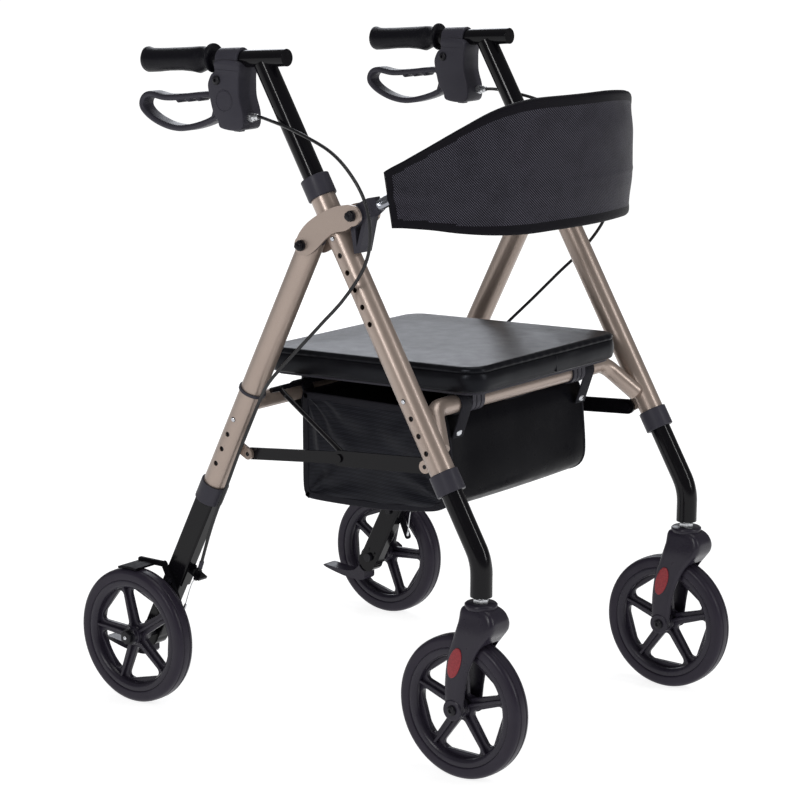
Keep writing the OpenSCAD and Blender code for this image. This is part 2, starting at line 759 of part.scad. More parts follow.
module backrest_band() {
    inner_side = [for (a = [-band_span:6:band_span]) band_at(a, -band_t / 2)];
    outer_side = [for (a = [band_span:-6:-band_span]) band_at(a, band_t / 2)];
    color(nylon) intersection() {
        translate([0, 0, 700]) linear_extrude(230) polygon(concat(inner_side, outer_side));
        slab(-300, 300) polygon([[122, 800], [122, 733], [222, 727.5], [265, 724], [330, 729],
            [330, 908], [278, 905], [253, 892.5], [186, 844], [146, 818]]);
    }
}

module backrest_tube() {
    tube_r = 8;
    start = [[116, leg_y - 4, 757], [131, leg_y - 8, 764.5]];
    bow = [for (a = [78:-12:-78]) [band_at(a, 0).x, band_at(a, 0).y, 772 + 20 * cos(a)]];
    path = concat(start, bow, [for (i = [1, 0]) [start[i].x, -start[i].y, start[i].z]]);
    color(steel) sweep(through(path, 3), tube_r, 12, [0, 0, 1]);
}

module backrest_brackets() {
    color(plastic) both_sides() difference() {
        union() {
            pin(backrest_pivot, leg_y - outer_r, leg_y + outer_r, 13.5);
            slab(leg_y - 14, leg_y + 12) polygon([[99, 762], [124, 775], [134, 758], [122, 748],
                [111, 700], [101.5, 698], [93, 744]]);
        }
        pin(backrest_pivot, leg_y - 30, leg_y + 30, bolt_r + run);
        slab(leg_y - 30, leg_y + 30) polygon([[103, 733], [115, 741], [106, 708]]);
    }
}

front_leg_tube(-1);  // front_leg_tube_right
front_leg_tube(1);  // front_leg_tube_left
front_crossbar();
hinge_bolts();
front_leg_collars();
bag();
bag_straps();
brake_cable(-1);  // brake_cable_right
brake_cable(1);  // brake_cable_left
handle_tube(-1);  // handle_tube_right
handle_tube(1);  // handle_tube_left
grip(-1);  // grip_right
grip(1);  // grip_left
brake_housing(-1);  // brake_housing_right
brake_housing(1);  // brake_housing_left
brake_lever(-1);  // brake_lever_right
brake_lever(1);  // brake_lever_left
handle_button(-1);  // handle_button_right
handle_button(1);  // handle_button_left
front_leg_lower(-1);  // front_leg_lower_right
front_leg_lower(1);  // front_leg_lower_left
front_leg_button(-1);  // front_leg_button_right
front_leg_button(1);  // front_leg_button_left
caster_fork(-1);  // caster_fork_right
caster_fork(1);  // caster_fork_left
caster_hardware(-1);  // caster_hardware_right
caster_hardware(1);  // caster_hardware_left
caster_reflectors(-1);  // caster_reflectors_right
caster_reflectors(1);  // caster_reflectors_left
front_rim(-1, 90);  // front_rim_right
front_rim(1, 90);  // front_rim_left
front_tyre(-1);  // front_tyre_right
front_tyre(1);  // front_tyre_left
rear_leg_tube(-1);  // rear_leg_tube_right
rear_leg_tube(1);  // rear_leg_tube_left
rear_crossbar();
rear_leg_fittings();
rear_leg_lower(-1);  // rear_leg_lower_right
rear_leg_lower(1);  // rear_leg_lower_left
rear_leg_button(-1);  // rear_leg_button_right
rear_leg_button(1);  // rear_leg_button_left
step_pedal(-1);  // step_pedal_right
step_pedal(1);  // step_pedal_left
rear_hardware(-1);  // rear_hardware_right
rear_hardware(1);  // rear_hardware_left
brake_shoe(-1);  // brake_shoe_right
brake_shoe(1);  // brake_shoe_left
rear_rim(-1, 105);  // rear_rim_right
rear_rim(1, 4);  // rear_rim_left
rear_tyre(-1);  // rear_tyre_right
rear_tyre(1);  // rear_tyre_left
front_links();
rear_links();
lift_rod();
seat_cushion();
seat_board();
seat_fittings();
backrest_tube();
backrest_band();
backrest_brackets();
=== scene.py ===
"""Looks for the rollator walker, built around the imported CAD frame. Metres; +X travel, +Y left, +Z up."""
import json
import math

import bmesh
import bpy
from mathutils import Matrix, Vector, noise


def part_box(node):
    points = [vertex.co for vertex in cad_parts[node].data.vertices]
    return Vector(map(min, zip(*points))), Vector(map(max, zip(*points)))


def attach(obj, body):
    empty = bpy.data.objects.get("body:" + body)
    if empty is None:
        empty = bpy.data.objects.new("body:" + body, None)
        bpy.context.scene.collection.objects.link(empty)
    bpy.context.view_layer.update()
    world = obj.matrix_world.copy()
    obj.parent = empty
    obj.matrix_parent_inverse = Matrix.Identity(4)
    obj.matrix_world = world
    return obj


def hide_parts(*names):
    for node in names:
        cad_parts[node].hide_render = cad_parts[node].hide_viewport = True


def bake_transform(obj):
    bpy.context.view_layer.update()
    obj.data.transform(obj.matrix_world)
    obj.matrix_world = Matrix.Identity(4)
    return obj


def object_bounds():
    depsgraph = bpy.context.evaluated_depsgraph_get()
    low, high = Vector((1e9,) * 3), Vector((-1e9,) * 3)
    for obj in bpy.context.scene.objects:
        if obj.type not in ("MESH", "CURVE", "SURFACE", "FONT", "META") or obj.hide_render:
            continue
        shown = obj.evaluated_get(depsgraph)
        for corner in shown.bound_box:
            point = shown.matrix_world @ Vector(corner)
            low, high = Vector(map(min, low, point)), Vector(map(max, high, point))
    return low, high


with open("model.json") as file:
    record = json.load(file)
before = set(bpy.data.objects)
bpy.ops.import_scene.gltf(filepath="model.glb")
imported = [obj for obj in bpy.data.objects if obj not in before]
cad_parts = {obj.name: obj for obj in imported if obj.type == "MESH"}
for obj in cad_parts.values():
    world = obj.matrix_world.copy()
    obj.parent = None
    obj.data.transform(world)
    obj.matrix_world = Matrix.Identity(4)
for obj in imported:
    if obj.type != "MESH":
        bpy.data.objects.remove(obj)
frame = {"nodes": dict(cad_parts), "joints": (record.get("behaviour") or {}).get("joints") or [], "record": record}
NODES = frame["nodes"]
JOINTS = {joint["name"]: joint for joint in frame["joints"]}
cad_low, cad_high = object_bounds()
SIDES = (("right", -1), ("left", 1))
ACROSS = (0, 1, 0)


def placed(name, data):
    """A new object that holds the data, in the scene."""
    made = bpy.data.objects.new(name, data)
    bpy.context.scene.collection.objects.link(made)
    return made


def mm(*points):
    """Points given in millimetres, in metres."""
    return [tuple(value / 1000 for value in point) for point in points]


# ---------- camera, light and floor ----------
LENS_MM = 119.41
SENSOR_MM = 36
FLOOR_SIZE = 60
WORLD_STRENGTH = 0.2
MIDDLE = (0, 0, 0.5)
LIGHTS = (("key", (0.6, -3.6, 2.4), (0.34, 1.9), 52, (1, 1, 1)),
    ("side", (3.6, 0.8, 2.0), (0.34, 2.2), 40, (1, 1, 1)),
    ("back", (-2.6, 2.6, 2.2), (2.0, 2.0), 36, (0.9, 0.93, 1.0)),
    ("top", (0.2, 0.6, 3.6), (2.0, 2.0), 34, (1, 1, 1)))
CAMERA_AT = Vector((2.3185, -2.988, 1.2553))
FLOOR_GLOW_NEAR = 0.84
FLOOR_GLOW_FAR = 0.98
GLOW_STARTS = 0.6
GLOW_ENDS = 3.5
AZIMUTH, ELEVATION, ROLL = (math.radians(a) for a in (38.15, 12.17, 0.28))


def make_camera():
    back = Vector((math.sin(AZIMUTH) * math.cos(ELEVATION), -math.cos(AZIMUTH) * math.cos(ELEVATION),
        math.sin(ELEVATION)))
    right = Vector((math.cos(AZIMUTH), math.sin(AZIMUTH), 0))
    up = back.cross(right)
    rolled_right = right * math.cos(ROLL) + up * math.sin(ROLL)
    rolled_up = up * math.cos(ROLL) - right * math.sin(ROLL)
    turn = Matrix((rolled_right, rolled_up, back)).transposed().to_4x4()
    data = bpy.data.cameras.new("camera")
    data.lens = LENS_MM
    data.sensor_width = SENSOR_MM
    camera = placed("camera", data)
    camera.matrix_world = Matrix.Translation(CAMERA_AT) @ turn
    bpy.context.scene.camera = camera


def make_lights():
    for name, at, size, power, colour in LIGHTS:
        data = bpy.data.lights.new(name, "AREA")
        data.shape = "RECTANGLE"
        data.size, data.size_y = size
        data.energy = power
        data.color = colour
        light = placed(name, data)
        light.location = at
        light.rotation_euler = (Vector(at) - Vector(MIDDLE)).to_track_quat("Z", "Y").to_euler()


def make_studio():
    make_lights()
    world = bpy.data.worlds.new("studio")
    world.use_nodes = True
    world.node_tree.nodes["Background"].inputs["Color"].default_value = (1.0, 1.0, 1.0, 1)
    world.node_tree.nodes["Background"].inputs["Strength"].default_value = WORLD_STRENGTH
    bpy.context.scene.world = world
    bpy.context.scene.view_settings.view_transform = "Standard"
    bpy.ops.mesh.primitive_plane_add(size=FLOOR_SIZE, location=(0, 0, cad_low.z))
    floor = bpy.context.object
    floor.name = "floor"
    pale = Shader("floor_pale", (0.42, 0.42, 0.42), 0.9, Specular_IOR_Level=0.0)
    pale.shader.inputs["Emission Color"].default_value = (1, 1, 1, 1)
    away = pale.distance_from_middle()
    glow = pale.steps(away, GLOW_STARTS, GLOW_ENDS, FLOOR_GLOW_NEAR, FLOOR_GLOW_FAR)
    pale.link(glow, pale.shader.inputs["Emission Strength"])
    floor.data.materials.append(pale.material)


# ---------- materials ----------
class Shader:
    """One procedural material: a Principled shader with helpers for its node graph."""

    def __init__(self, name, colour, roughness, metallic=0.0, **sockets):
        self.material = bpy.data.materials.new(name)
        self.material.use_nodes = True
        self.tree = self.material.node_tree
        self.shader = self.tree.nodes["Principled BSDF"]
        self.shader.inputs["Base Color"].default_value = (*colour, 1)
        self.shader.inputs["Roughness"].default_value = roughness
        self.shader.inputs["Metallic"].default_value = metallic
        for socket, value in sockets.items():
            self.shader.inputs[socket.replace("_", " ")].default_value = value
        self.colour = colour

    def node(self, kind, **settings):
        made = self.tree.nodes.new(kind)
        for key, value in settings.items():
            if key in made.inputs:
                made.inputs[key].default_value = value
            else:
                setattr(made, key, value)
        return made

    def link(self, source, target):
        self.tree.links.new(source, target)

    def place(self, layer=None):
        """Where the pattern is taken from: the object's own metres, or a flat layer of the cloth."""
        if layer:
            return self.node("ShaderNodeUVMap", uv_map=layer).outputs["UV"]
        return self.node("ShaderNodeTexCoord").outputs["Object"]

    def across_and_along(self):
        """The two distances on the cloth as cut, in metres."""
        split = self.node("ShaderNodeSeparateXYZ")
        self.link(self.place("cloth"), split.inputs["Vector"])
        return split.outputs["X"], split.outputs["Y"]

    def distance_from_middle(self):
        away = self.node("ShaderNodeVectorMath", operation="LENGTH")
        self.link(self.place(), away.inputs[0])
        return away.outputs["Value"]

    def noise(self, per_metre, detail, layer=None, stretch=None):
        texture = self.node("ShaderNodeTexNoise", Scale=per_metre, Detail=detail, Roughness=0.55)
        place = self.place(layer)
        if stretch:
            mapping = self.node("ShaderNodeMapping", Scale=stretch)
            self.link(place, mapping.inputs["Vector"])
            place = mapping.outputs["Vector"]
        self.link(place, texture.inputs["Vector"])
        return texture.outputs["Fac"]

    def cells(self, per_metre):
        texture = self.node("ShaderNodeTexVoronoi", Scale=per_metre, feature="F1")
        self.link(self.place(), texture.inputs["Vector"])
        return texture.outputs["Distance"]

    def math(self, operation, a, b=None, c=None):
        made = self.node("ShaderNodeMath", operation=operation)
        for index, value in enumerate((a, b, c)):
            if value is None:
                continue
            if isinstance(value, (int, float)):
                made.inputs[index].default_value = value
            else:
                self.link(value, made.inputs[index])
        return made.outputs[0]

    def steps(self, value, low, high, to_low=0.0, to_high=1.0):
        ends = {"From Min": low, "From Max": high, "To Min": to_low, "To Max": to_high}
        made = self.node("ShaderNodeMapRange", **ends)
        self.link(value, made.inputs["Value"])
        return made.outputs["Result"]

    def vary_colour(self, value, other):
        """Mixes towards another colour where value is high."""
        mix = self.node("ShaderNodeMix", data_type="RGBA")
        factor, base, towards = mix.inputs[0], mix.inputs[6], mix.inputs[7]
        base.default_value = (*self.colour, 1)
        towards.default_value = (*other, 1)
        socket = self.shader.inputs["Base Color"]
        if socket.is_linked:
            self.link(socket.links[0].from_socket, base)
        self.link(value, factor)
        self.link(mix.outputs[2], socket)

    def blotches(self, per_metre, detail, low, high, share, other):
        """Mixes in up to that share of another colour where a noise is between low and high."""
        self.vary_colour(self.steps(self.noise(per_metre, detail), low, high, 0, share), other)

    def vary_roughness(self, low, high, per_metre, detail, stretch=None):
        value = self.noise(per_metre, detail, stretch=stretch)
        self.link(self.steps(value, 0.3, 0.7, low, high), self.shader.inputs["Roughness"])

    def bump(self, value, depth, strength):
        """Adds a bump of that depth in metres on top of any earlier one."""
        made = self.node("ShaderNodeBump", Strength=strength, Distance=depth)
        self.link(value, made.inputs["Height"])
        socket = self.shader.inputs["Normal"]
        if socket.is_linked:
            self.link(socket.links[0].from_socket, made.inputs["Normal"])
        self.link(made.outputs["Normal"], socket)
        return self

    def grain(self, per_metre, detail, depth, strength, stretch=None):
        return self.bump(self.noise(per_metre, detail, stretch=stretch), depth, strength)


# ---------- the walker's materials ----------
def metal_paint():
    """Champagne powder coat: fine metallic flake under a satin clear coat."""
    paint = Shader("champagne_paint", (0.318, 0.25, 0.214), 0.36, 0.6, Coat_Weight=0.3,
        Coat_Roughness=0.2)
    flake = paint.cells(2600)
    paint.vary_colour(paint.steps(flake, 0.25, 0.75, 0, 0.35), (0.49, 0.41, 0.355))
    paint.blotches(9, 4, 0.35, 0.75, 0.25, (0.265, 0.205, 0.17))
    paint.vary_roughness(0.32, 0.39, 300, 2)
    return paint.grain(900, 2, 0.00004, 0.2)


def mottled(name, colour, roughness, blotches, shine, *grains, **sockets):
    """A material from noise alone: blotches of another colour, uneven shine and layers of grain."""
    made = Shader(name, colour, roughness, **sockets)
    made.blotches(*blotches)
    made.vary_roughness(*shine)
    for grain in grains:
        made.grain(*grain)
    return made


def moulded_plastic(name, colour, lighter, roughness, specular=0.13):
    """Glass-filled nylon with a fine spark-eroded grain and soft flow marks."""
    return mottled(name, colour, roughness, (14, 4, 0.4, 0.75, 0.6, lighter),
        (roughness - 0.05, roughness + 0.08, 55, 4), (2600, 2, 0.00003, 0.25),
        (60, 2, 0.0001, 0.03), Specular_IOR_Level=specular)


def grip_rubber():
    """Soft foam rubber with a pebbled skin."""
    rubber = Shader("grip_rubber", (0.004, 0.0037, 0.006), 0.42, Specular_IOR_Level=0.12)
    rubber.blotches(500, 2, 0.6, 0.72, 0.5, (0.022, 0.022, 0.026))
    rubber.bump(rubber.cells(420), 0.0003, 0.4)
    return rubber.grain(90, 3, 0.0006, 0.25)


def steel(name, colour, low, high, streaks):
    """Bright steel with a fine grain of streaks and a little tarnish."""
    metal = Shader(name, colour, low, 1.0)
    metal.blotches(70, 4, 0.45, 0.8, 0.5, tuple(c * 0.72 for c in colour))
    metal.vary_roughness(low, high, 260, 3, (1, 1, streaks))
    return metal.grain(900, 2, 0.00003, 0.3, (1, 1, streaks))


def cable_cover():
    """Smooth extruded cable sheath."""
    sheath = Shader("cable_cover", (0.0065, 0.0065, 0.0078), 0.3, Specular_IOR_Level=0.35)
    sheath.vary_roughness(0.24, 0.42, 120, 3)
    return sheath.grain(500, 2, 0.00006, 0.3)


def red_reflector():
    """Red lens with a fine field of prisms behind a clear skin."""
    lens = Shader("red_reflector", (0.27, 0.027, 0.033), 0.3, Specular_IOR_Level=0.2, Coat_Weight=0.15,
        Coat_Roughness=0.08)
    prism = lens.cells(420)
    lens.vary_colour(lens.steps(prism, 0.2, 0.7, 0, 0.6), (0.16, 0.012, 0.018))
    return lens.bump(prism, 0.0002, 0.25)


def seat_vinyl():
    """Padded upholstery vinyl: pebbled leather grain with soft creases."""
    vinyl = Shader("seat_vinyl", (0.0036, 0.0036, 0.005), 0.33, Specular_IOR_Level=0.13,
        Specular_Tint=(0.84, 0.89, 1.0, 1.0))
    vinyl.blotches(35, 4, 0.45, 0.8, 0.5, (0.0062, 0.0062, 0.0082))
    vinyl.vary_roughness(0.31, 0.38, 48, 5)
    return vinyl.bump(vinyl.cells(1100), 0.00012, 0.3)


def woven(name, colour, lighter, pitch, depth, roughness, slant=1.0, sheen=0.0):
    """A two-way weave: rows of yarn crossing on the slant, with a little unevenness along them."""
    cloth = Shader(name, colour, roughness, Sheen_Weight=sheen, Sheen_Roughness=0.5,
        Specular_IOR_Level=0.08)
    u, v = cloth.across_and_along()
    turn = 2 * math.pi / pitch
    diagonal = cloth.math("MULTIPLY_ADD", v, slant, u)
    other = cloth.math("MULTIPLY_ADD", v, -0.9 * slant, cloth.math("MULTIPLY", u, 1.35))
    warp = cloth.math("SINE", cloth.math("MULTIPLY", diagonal, turn))
    weft = cloth.math("SINE", cloth.math("MULTIPLY", other, turn))
    weave = cloth.math("MULTIPLY", cloth.steps(warp, -1, 1), cloth.steps(weft, -1, 1))
    weave = cloth.math("MULTIPLY_ADD", cloth.steps(warp, -1, 1), 0.35, weave)
    cloth.vary_colour(cloth.steps(weave, 0.25, 1.1), lighter)
    cloth.vary_colour(cloth.steps(cloth.noise(30, 4, "cloth"), 0.45, 0.8, 0, 0.4),
        tuple(c * 0.75 for c in colour))
    return cloth.bump(weave, depth, 0.6)


RIB_PITCH = 0.0016
ROW_PITCH = 0.0022


def webbing(name, colour, lighter, depth):
    """Ribbed woven tape."""
    tape = Shader(name, colour, 0.5, Specular_IOR_Level=0.06)
    u, v = tape.across_and_along()
    ribs = tape.math("SINE", tape.math("MULTIPLY", u, 2 * math.pi / RIB_PITCH))
    rows = tape.math("SINE", tape.math("MULTIPLY", v, 2 * math.pi / ROW_PITCH))
    weave = tape.math("MULTIPLY_ADD", rows, 0.4, ribs)
    tape.vary_colour(tape.steps(weave, -1.0, 1.3), lighter)
    return tape.bump(weave, depth, 0.6)


PAINT = metal_paint()
# thick gloss enamel with a faint orange peel and dust in the clear
GLOSS = mottled("gloss_black", (0.0036, 0.0033, 0.0044), 0.14,
    (700, 2, 0.62, 0.8, 0.4, (0.012, 0.011, 0.013)), (0.11, 0.18, 45, 4),
    (240, 2, 0.00002, 0.05), Specular_IOR_Level=0.17)
# stamped steel with a thin satin black coat, rubbed lighter in places
BOLT = mottled("satin_black", (0.0085, 0.008, 0.0108), 0.32,
    (60, 5, 0.55, 0.8, 0.5, (0.016, 0.0155, 0.019)), (0.26, 0.4, 110, 4),
    (1400, 2, 0.00002, 0.3), Specular_IOR_Level=0.2)
SOOT = moulded_plastic("matt_black", (0.005, 0.0047, 0.0062), (0.0085, 0.008, 0.0105), 0.5, 0.05)
PLASTIC = moulded_plastic("grey_plastic", (0.033, 0.0315, 0.041), (0.043, 0.0415, 0.053), 0.38)
WHEEL_PLASTIC = moulded_plastic("wheel_plastic", (0.0175, 0.0148, 0.0235), (0.0245, 0.0212, 0.032), 0.29,
    0.24)
# solid polyurethane tyre: charcoal and faintly mottled
TYRE = mottled("tyre_rubber", (0.02, 0.0166, 0.0262), 0.34,
    (22, 5, 0.45, 0.75, 0.6, (0.028, 0.024, 0.0355)), (0.28, 0.4, 70, 4),
    (1500, 3, 0.00003, 0.25), Specular_IOR_Level=0.16)
GRIP = grip_rubber()
ZINC = steel("zinc_steel", (0.62, 0.63, 0.65), 0.22, 0.38, 6)
CHROME = steel("chrome", (0.5, 0.51, 0.54), 0.1, 0.22, 2)
TUBE_STEEL = steel("chrome_tube", (0.27, 0.28, 0.31), 0.18, 0.28, 2)
SHEATH = cable_cover()
REFLECTOR = red_reflector()
VINYL = seat_vinyl()
MESH_CLOTH = woven("band_mesh", (0.0042, 0.0038, 0.0056), (0.09, 0.086, 0.113), 0.0036, 0.0005, 0.46)
NYLON = woven("bag_nylon", (0.0075, 0.0078, 0.0108), (0.024, 0.025, 0.033), 0.0022, 0.00015, 0.4,
    slant=0.0, sheen=0.03)
BINDING = webbing("webbing", (0.008, 0.0078, 0.0105), (0.02, 0.02, 0.026), 0.0003)
EDGING = webbing("band_edging", (0.004, 0.0036, 0.0055), (0.007, 0.0065, 0.0092), 0.00008)
FACING = moulded_plastic("bag_facing", (0.0038, 0.0038, 0.0052), (0.0058, 0.0058, 0.0076), 0.3, 0.04)


# ---------- mesh helpers ----------
def to_mesh(bm, name, outward=True):
    """The finished mesh, with its faces turned outward unless they are already as they should be."""
    if outward:
        bmesh.ops.recalc_face_normals(bm, faces=bm.faces)
    mesh = bpy.data.meshes.new(name)
    bm.to_mesh(mesh)
    bm.free()
    return mesh


def applied(piece):
    """The piece's mesh with its modifiers applied; the object itself is removed."""
    bpy.context.view_layer.update()
    mesh = bpy.data.meshes.new_from_object(piece.evaluated_get(bpy.context.evaluated_depsgraph_get()))
    mesh.transform(piece.matrix_world)
    bpy.data.objects.remove(piece)
    return mesh


def merge(name, *meshes):
    """Several meshes as one."""
    bm = bmesh.new()
    for mesh in meshes:
        bm.from_mesh(mesh)
    return to_mesh(bm, name, False)


def frame_along(axis, side=(0, 0, 1)):
    """Two unit directions across an axis, the first as near to side as it can be."""
    axis = Vector(axis).normalized()
    side = Vector(side)
    if abs(axis.dot(side.normalized())) > 0.99:
        side = Vector(ACROSS)
    across = (side - axis * side.dot(axis)).normalized()
    return across, axis.cross(across)


def skin(bm, rings, closed=False):
    """Joins rings of vertices with faces, which it returns. A ring of one vertex is a point."""
    pairs = list(zip(rings, rings[1:]))
    if closed:
        pairs.append((rings[-1], rings[0]))
    faces = []
    for a, b in pairs:
        for k in range(max(len(a), len(b))):
            corners = [a[k % len(a)], a[(k + 1) % len(a)], b[(k + 1) % len(b)], b[k % len(b)]]
            unique = list(dict.fromkeys(corners))
            if len(unique) > 2:
                faces.append(bm.faces.new(unique))
    return faces


def two_sided(half):
    """A whole profile of (distance along the axis, radius) points, from one half of it."""
    return [(-along, radius) for along, radius in half] + half[::-1]


def lathe(profile, at=(0, 0, 0), axis=ACROSS, steps=72, closed=False):
    """A mesh turned from (distance along the axis, radius) points."""
    bm = bmesh.new()
    at, axis = Vector(at), Vector(axis).normalized()
    u, v = frame_along(axis)
    rings = []
    for along, radius in profile:
        count = steps if radius > 1e-6 else 1
        turns = [2 * math.pi * k / steps for k in range(count)]
        rings.append([bm.verts.new(at + axis * along + (u * math.cos(a) + v * math.sin(a)) * radius)
            for a in turns])
    skin(bm, rings, closed)
    return to_mesh(bm, "lathe")


def turned(at, axis, *parts):
    """Several turned parts on one axis, each given as its steps and its profile."""
    return merge("turned", *(lathe(profile, at, axis, steps) for steps, profile in parts))


def smooth(points, per_span=6, closed=False):
    """A Catmull-Rom line through the points; a closed one runs round into a loop."""
    points = [Vector(p) for p in points]
    last = len(points) - 1
    line = []
    for i in range(last + closed):
        near = (i + k for k in (-1, 0, 1, 2))
        a, b, c, d = (points[k % (last + 1) if closed else max(0, min(last, k))] for k in near)
        for k in range(per_span):
            t = k / per_span
            line.append(0.5 * (2 * b + (c - a) * t + (2 * a - 5 * b + 4 * c - d) * t * t
                + (3 * b - a - 3 * c + d) * t ** 3))
    return line if closed else line + [points[-1]]


def carved(mesh, tool):
    """The mesh with the tool's shape cut out of it."""
    piece, cutter = placed("carved", mesh), placed("cutter", tool)
    cut = piece.modifiers.new("cut", "BOOLEAN")
    cut.operation = "DIFFERENCE"
    cut.solver = "EXACT"
    cut.object = cutter
    result = applied(piece)
    bpy.data.objects.remove(cutter)
    return result


def cloth_faces(bm, rings, flat, around=True, closed=False, kind=None):
    """Joins rings of vertices with faces of four corners. flat(i, k) is where corner k of ring i lies on
    the cloth as cut, in metres, and kind(i, k) the number of a face's material."""
    layer = bm.loops.layers.uv.verify()
    for i in range(len(rings) - (not closed)):
        for k in range(len(rings[0]) - (not around)):
            corners = ((i, k), (i, k + 1), (i + 1, k + 1), (i + 1, k))
            face = bm.faces.new([rings[a % len(rings)][b % len(rings[0])] for a, b in corners])
            if kind:
                face.material_index = kind(i, k)
            for loop, corner in zip(face.loops, corners):
                loop[layer].uv = flat(*corner)


def sweep(path, outline, side=ACROSS, closed=False):
    """A solid that carries an outline of points (across, up) along a path. Its cloth layer holds the
    distance along the path and round the outline, in metres."""
    bm = bmesh.new()
    bm.loops.layers.uv.new("cloth")
    path = [Vector(p) for p in path]
    last = len(path) - 1
    rings, along = [], [0.0]
    for i, p in enumerate(path):
        ahead = path[(i + 1) % len(path)] if closed else path[min(i + 1, last)]
        behind = path[i - 1] if closed else path[max(i - 1, 0)]
        across, up = frame_along(ahead - behind, side)
        rings.append([bm.verts.new(p + across * x + up * y) for x, y in outline])
        along.append(along[-1] + (path[(i + 1) % len(path)] - p).length)
    around = [0.0]
    for k in range(len(outline)):
        around.append(around[-1] + math.dist(outline[k], outline[(k + 1) % len(outline)]))
    cloth_faces(bm, rings, lambda i, k: (along[i], around[k]), closed=closed)
    if not closed:
        bm.faces.new(rings[0])
        bm.faces.new(rings[-1])
    return to_mesh(bm, "sweep")


def thicken(mesh, thickness, offset=0.0):
    """A sheet as a closed shell of that thickness."""
    sheet = placed("sheet", mesh)
    for _ in range(2):
        mesh.materials.append(None)
    solid = sheet.modifiers.new("solid", "SOLIDIFY")
    solid.thickness = thickness
    solid.offset = offset
    return applied(sheet)


def disc(radius, sides=16):
    """The points of a round cross-section."""
    turns = [2 * math.pi * k / sides for k in range(sides)]
    return [(radius * math.cos(a), radius * math.sin(a)) for a in turns]


def rounded(width, height, radius, per_corner=5):
    """The outline of a rectangle with round corners, about its middle."""
    outline = []
    for x, y, start in ((1, 1, 0), (-1, 1, 90), (-1, -1, 180), (1, -1, 270)):
        for k in range(per_corner + 1):
            a = math.radians(start + 90 * k / per_corner)
            outline.append((x * (width / 2 - radius) + radius * math.cos(a),
                y * (height / 2 - radius) + radius * math.sin(a)))
    return outline


def block(low, high):
    """A plain box between two corners."""
    bm = bmesh.new()
    bmesh.ops.create_cube(bm)
    low, high = Vector(low), Vector(high)
    for vert in bm.verts:
        vert.co = Vector(low[i] if vert.co[i] < 0 else high[i] for i in range(3))
    return to_mesh(bm, "block")


UPRIGHT = Matrix(((1, 0, 0, 0), (0, 0, -1, 0), (0, 1, 0, 0), (0, 0, 0, 1)))


def plate(outlines, thickness, bevel, place):
    """A flat plate with bevelled edges, from closed outlines; those inside another are holes. place maps
    its x, y and z to the walker."""
    curve = bpy.data.curves.new("plate", "CURVE")
    curve.dimensions = "2D"
    curve.fill_mode = "BOTH"
    curve.extrude = thickness / 2 - bevel
    curve.bevel_depth = bevel
    curve.bevel_resolution = 2
    curve.offset = -bevel
    for outline in outlines:
        spline = curve.splines.new("POLY")
        spline.points.add(len(outline) - 1)
        for point, (x, y) in zip(spline.points, outline):
            point.co = (x, y, 0, 1)
        spline.use_cyclic_u = True
    mesh = applied(placed("plate", curve))
    bpy.data.curves.remove(curve)
    mesh.transform(place)
    bm = bmesh.new()
    bm.from_mesh(mesh)
    bmesh.ops.remove_doubles(bm, verts=bm.verts, dist=1e-6)
    return to_mesh(bm, "plate")


def moulded(mesh, voxel, rounds):
    """The same shape with every edge rounded, as a moulding has: remeshed finely, then relaxed."""
    piece = placed("moulded", mesh)
    fine = piece.modifiers.new("fine", "REMESH")
    fine.mode = "VOXEL"
    fine.voxel_size = voxel
    relax = piece.modifiers.new("relax", "SMOOTH")
    relax.factor = 0.5
    relax.iterations = rounds
    return applied(piece)


def mirrored(mesh, sign):
    """The mesh on the walker's other side where sign is -1: pieces are drawn for the left."""
    if sign < 0:
        mesh.transform(Matrix.Scale(-1, 4, ACROSS))
        mesh.flip_normals()
    return mesh


# ---------- what the CAD nodes give ----------
def solids(node):
    """The separate solids of a CAD node as welded meshes, the one with the largest box first."""
    bm = bmesh.new()
    bm.from_mesh(NODES[node].data)
    bmesh.ops.remove_doubles(bm, verts=bm.verts, dist=1e-5)
    bm.verts.index_update()
    island = {}
    for seed in bm.verts:
        if seed.index in island:
            continue
        stack = [seed]
        while stack:
            vert = stack.pop()
            if vert.index in island:
                continue
            island[vert.index] = seed.index
            stack.extend(edge.other_vert(vert) for edge in vert.link_edges)
    found = []
    for seed in dict.fromkeys(island.values()):
        part = bm.copy()
        part.verts.ensure_lookup_table()
        others = [v for v in part.verts if island[v.index] != seed]
        bmesh.ops.delete(part, geom=others, context="VERTS")
        found.append(to_mesh(part, node, False))
    bm.free()
    return sorted(found, key=lambda mesh: -box_of(mesh)[2].length)


def box_of(mesh):
    """Lowest corner, highest corner and size of a mesh."""
    low = Vector(min(v.co[i] for v in mesh.vertices) for i in range(3))
    high = Vector(max(v.co[i] for v in mesh.vertices) for i in range(3))
    return low, high, high - low


def joint_at(name):
    return Vector(JOINTS[name]["pos_m"])


def put(name, mesh, shader, body, *replaced, slot=None, sharp=40):
    """A piece, smooth except at edges sharper than the angle given. It rides on a body and stands for CAD
    nodes. The slot argument is not used."""
    shaders = shader if isinstance(shader, list) else [shader]
    kinds = [min(face.material_index, len(shaders) - 1) for face in mesh.polygons]
    piece = placed(name, mesh)
    mesh.materials.clear()
    for kind in shaders:
        mesh.materials.append(kind.material)
    mesh.polygons.foreach_set("material_index", kinds)
    mesh.shade_smooth()
    mesh.set_sharp_from_angle(angle=math.radians(sharp))
    if replaced:
        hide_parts(*replaced)
    if body:
        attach(piece, body)
    return piece


# ---------- wheels ----------
WEB_R = 0.0735
WINDOW_CORNER = 0.0068
WINDOW_TIP = 0.0262
WINDOW_FAR = 0.062
WINDOW_HALF = math.radians(22.6)
SPOKES = 5
SPOKE_TURN = {"front_right": 90, "front_left": 90, "rear_right": 105, "rear_left": 4}


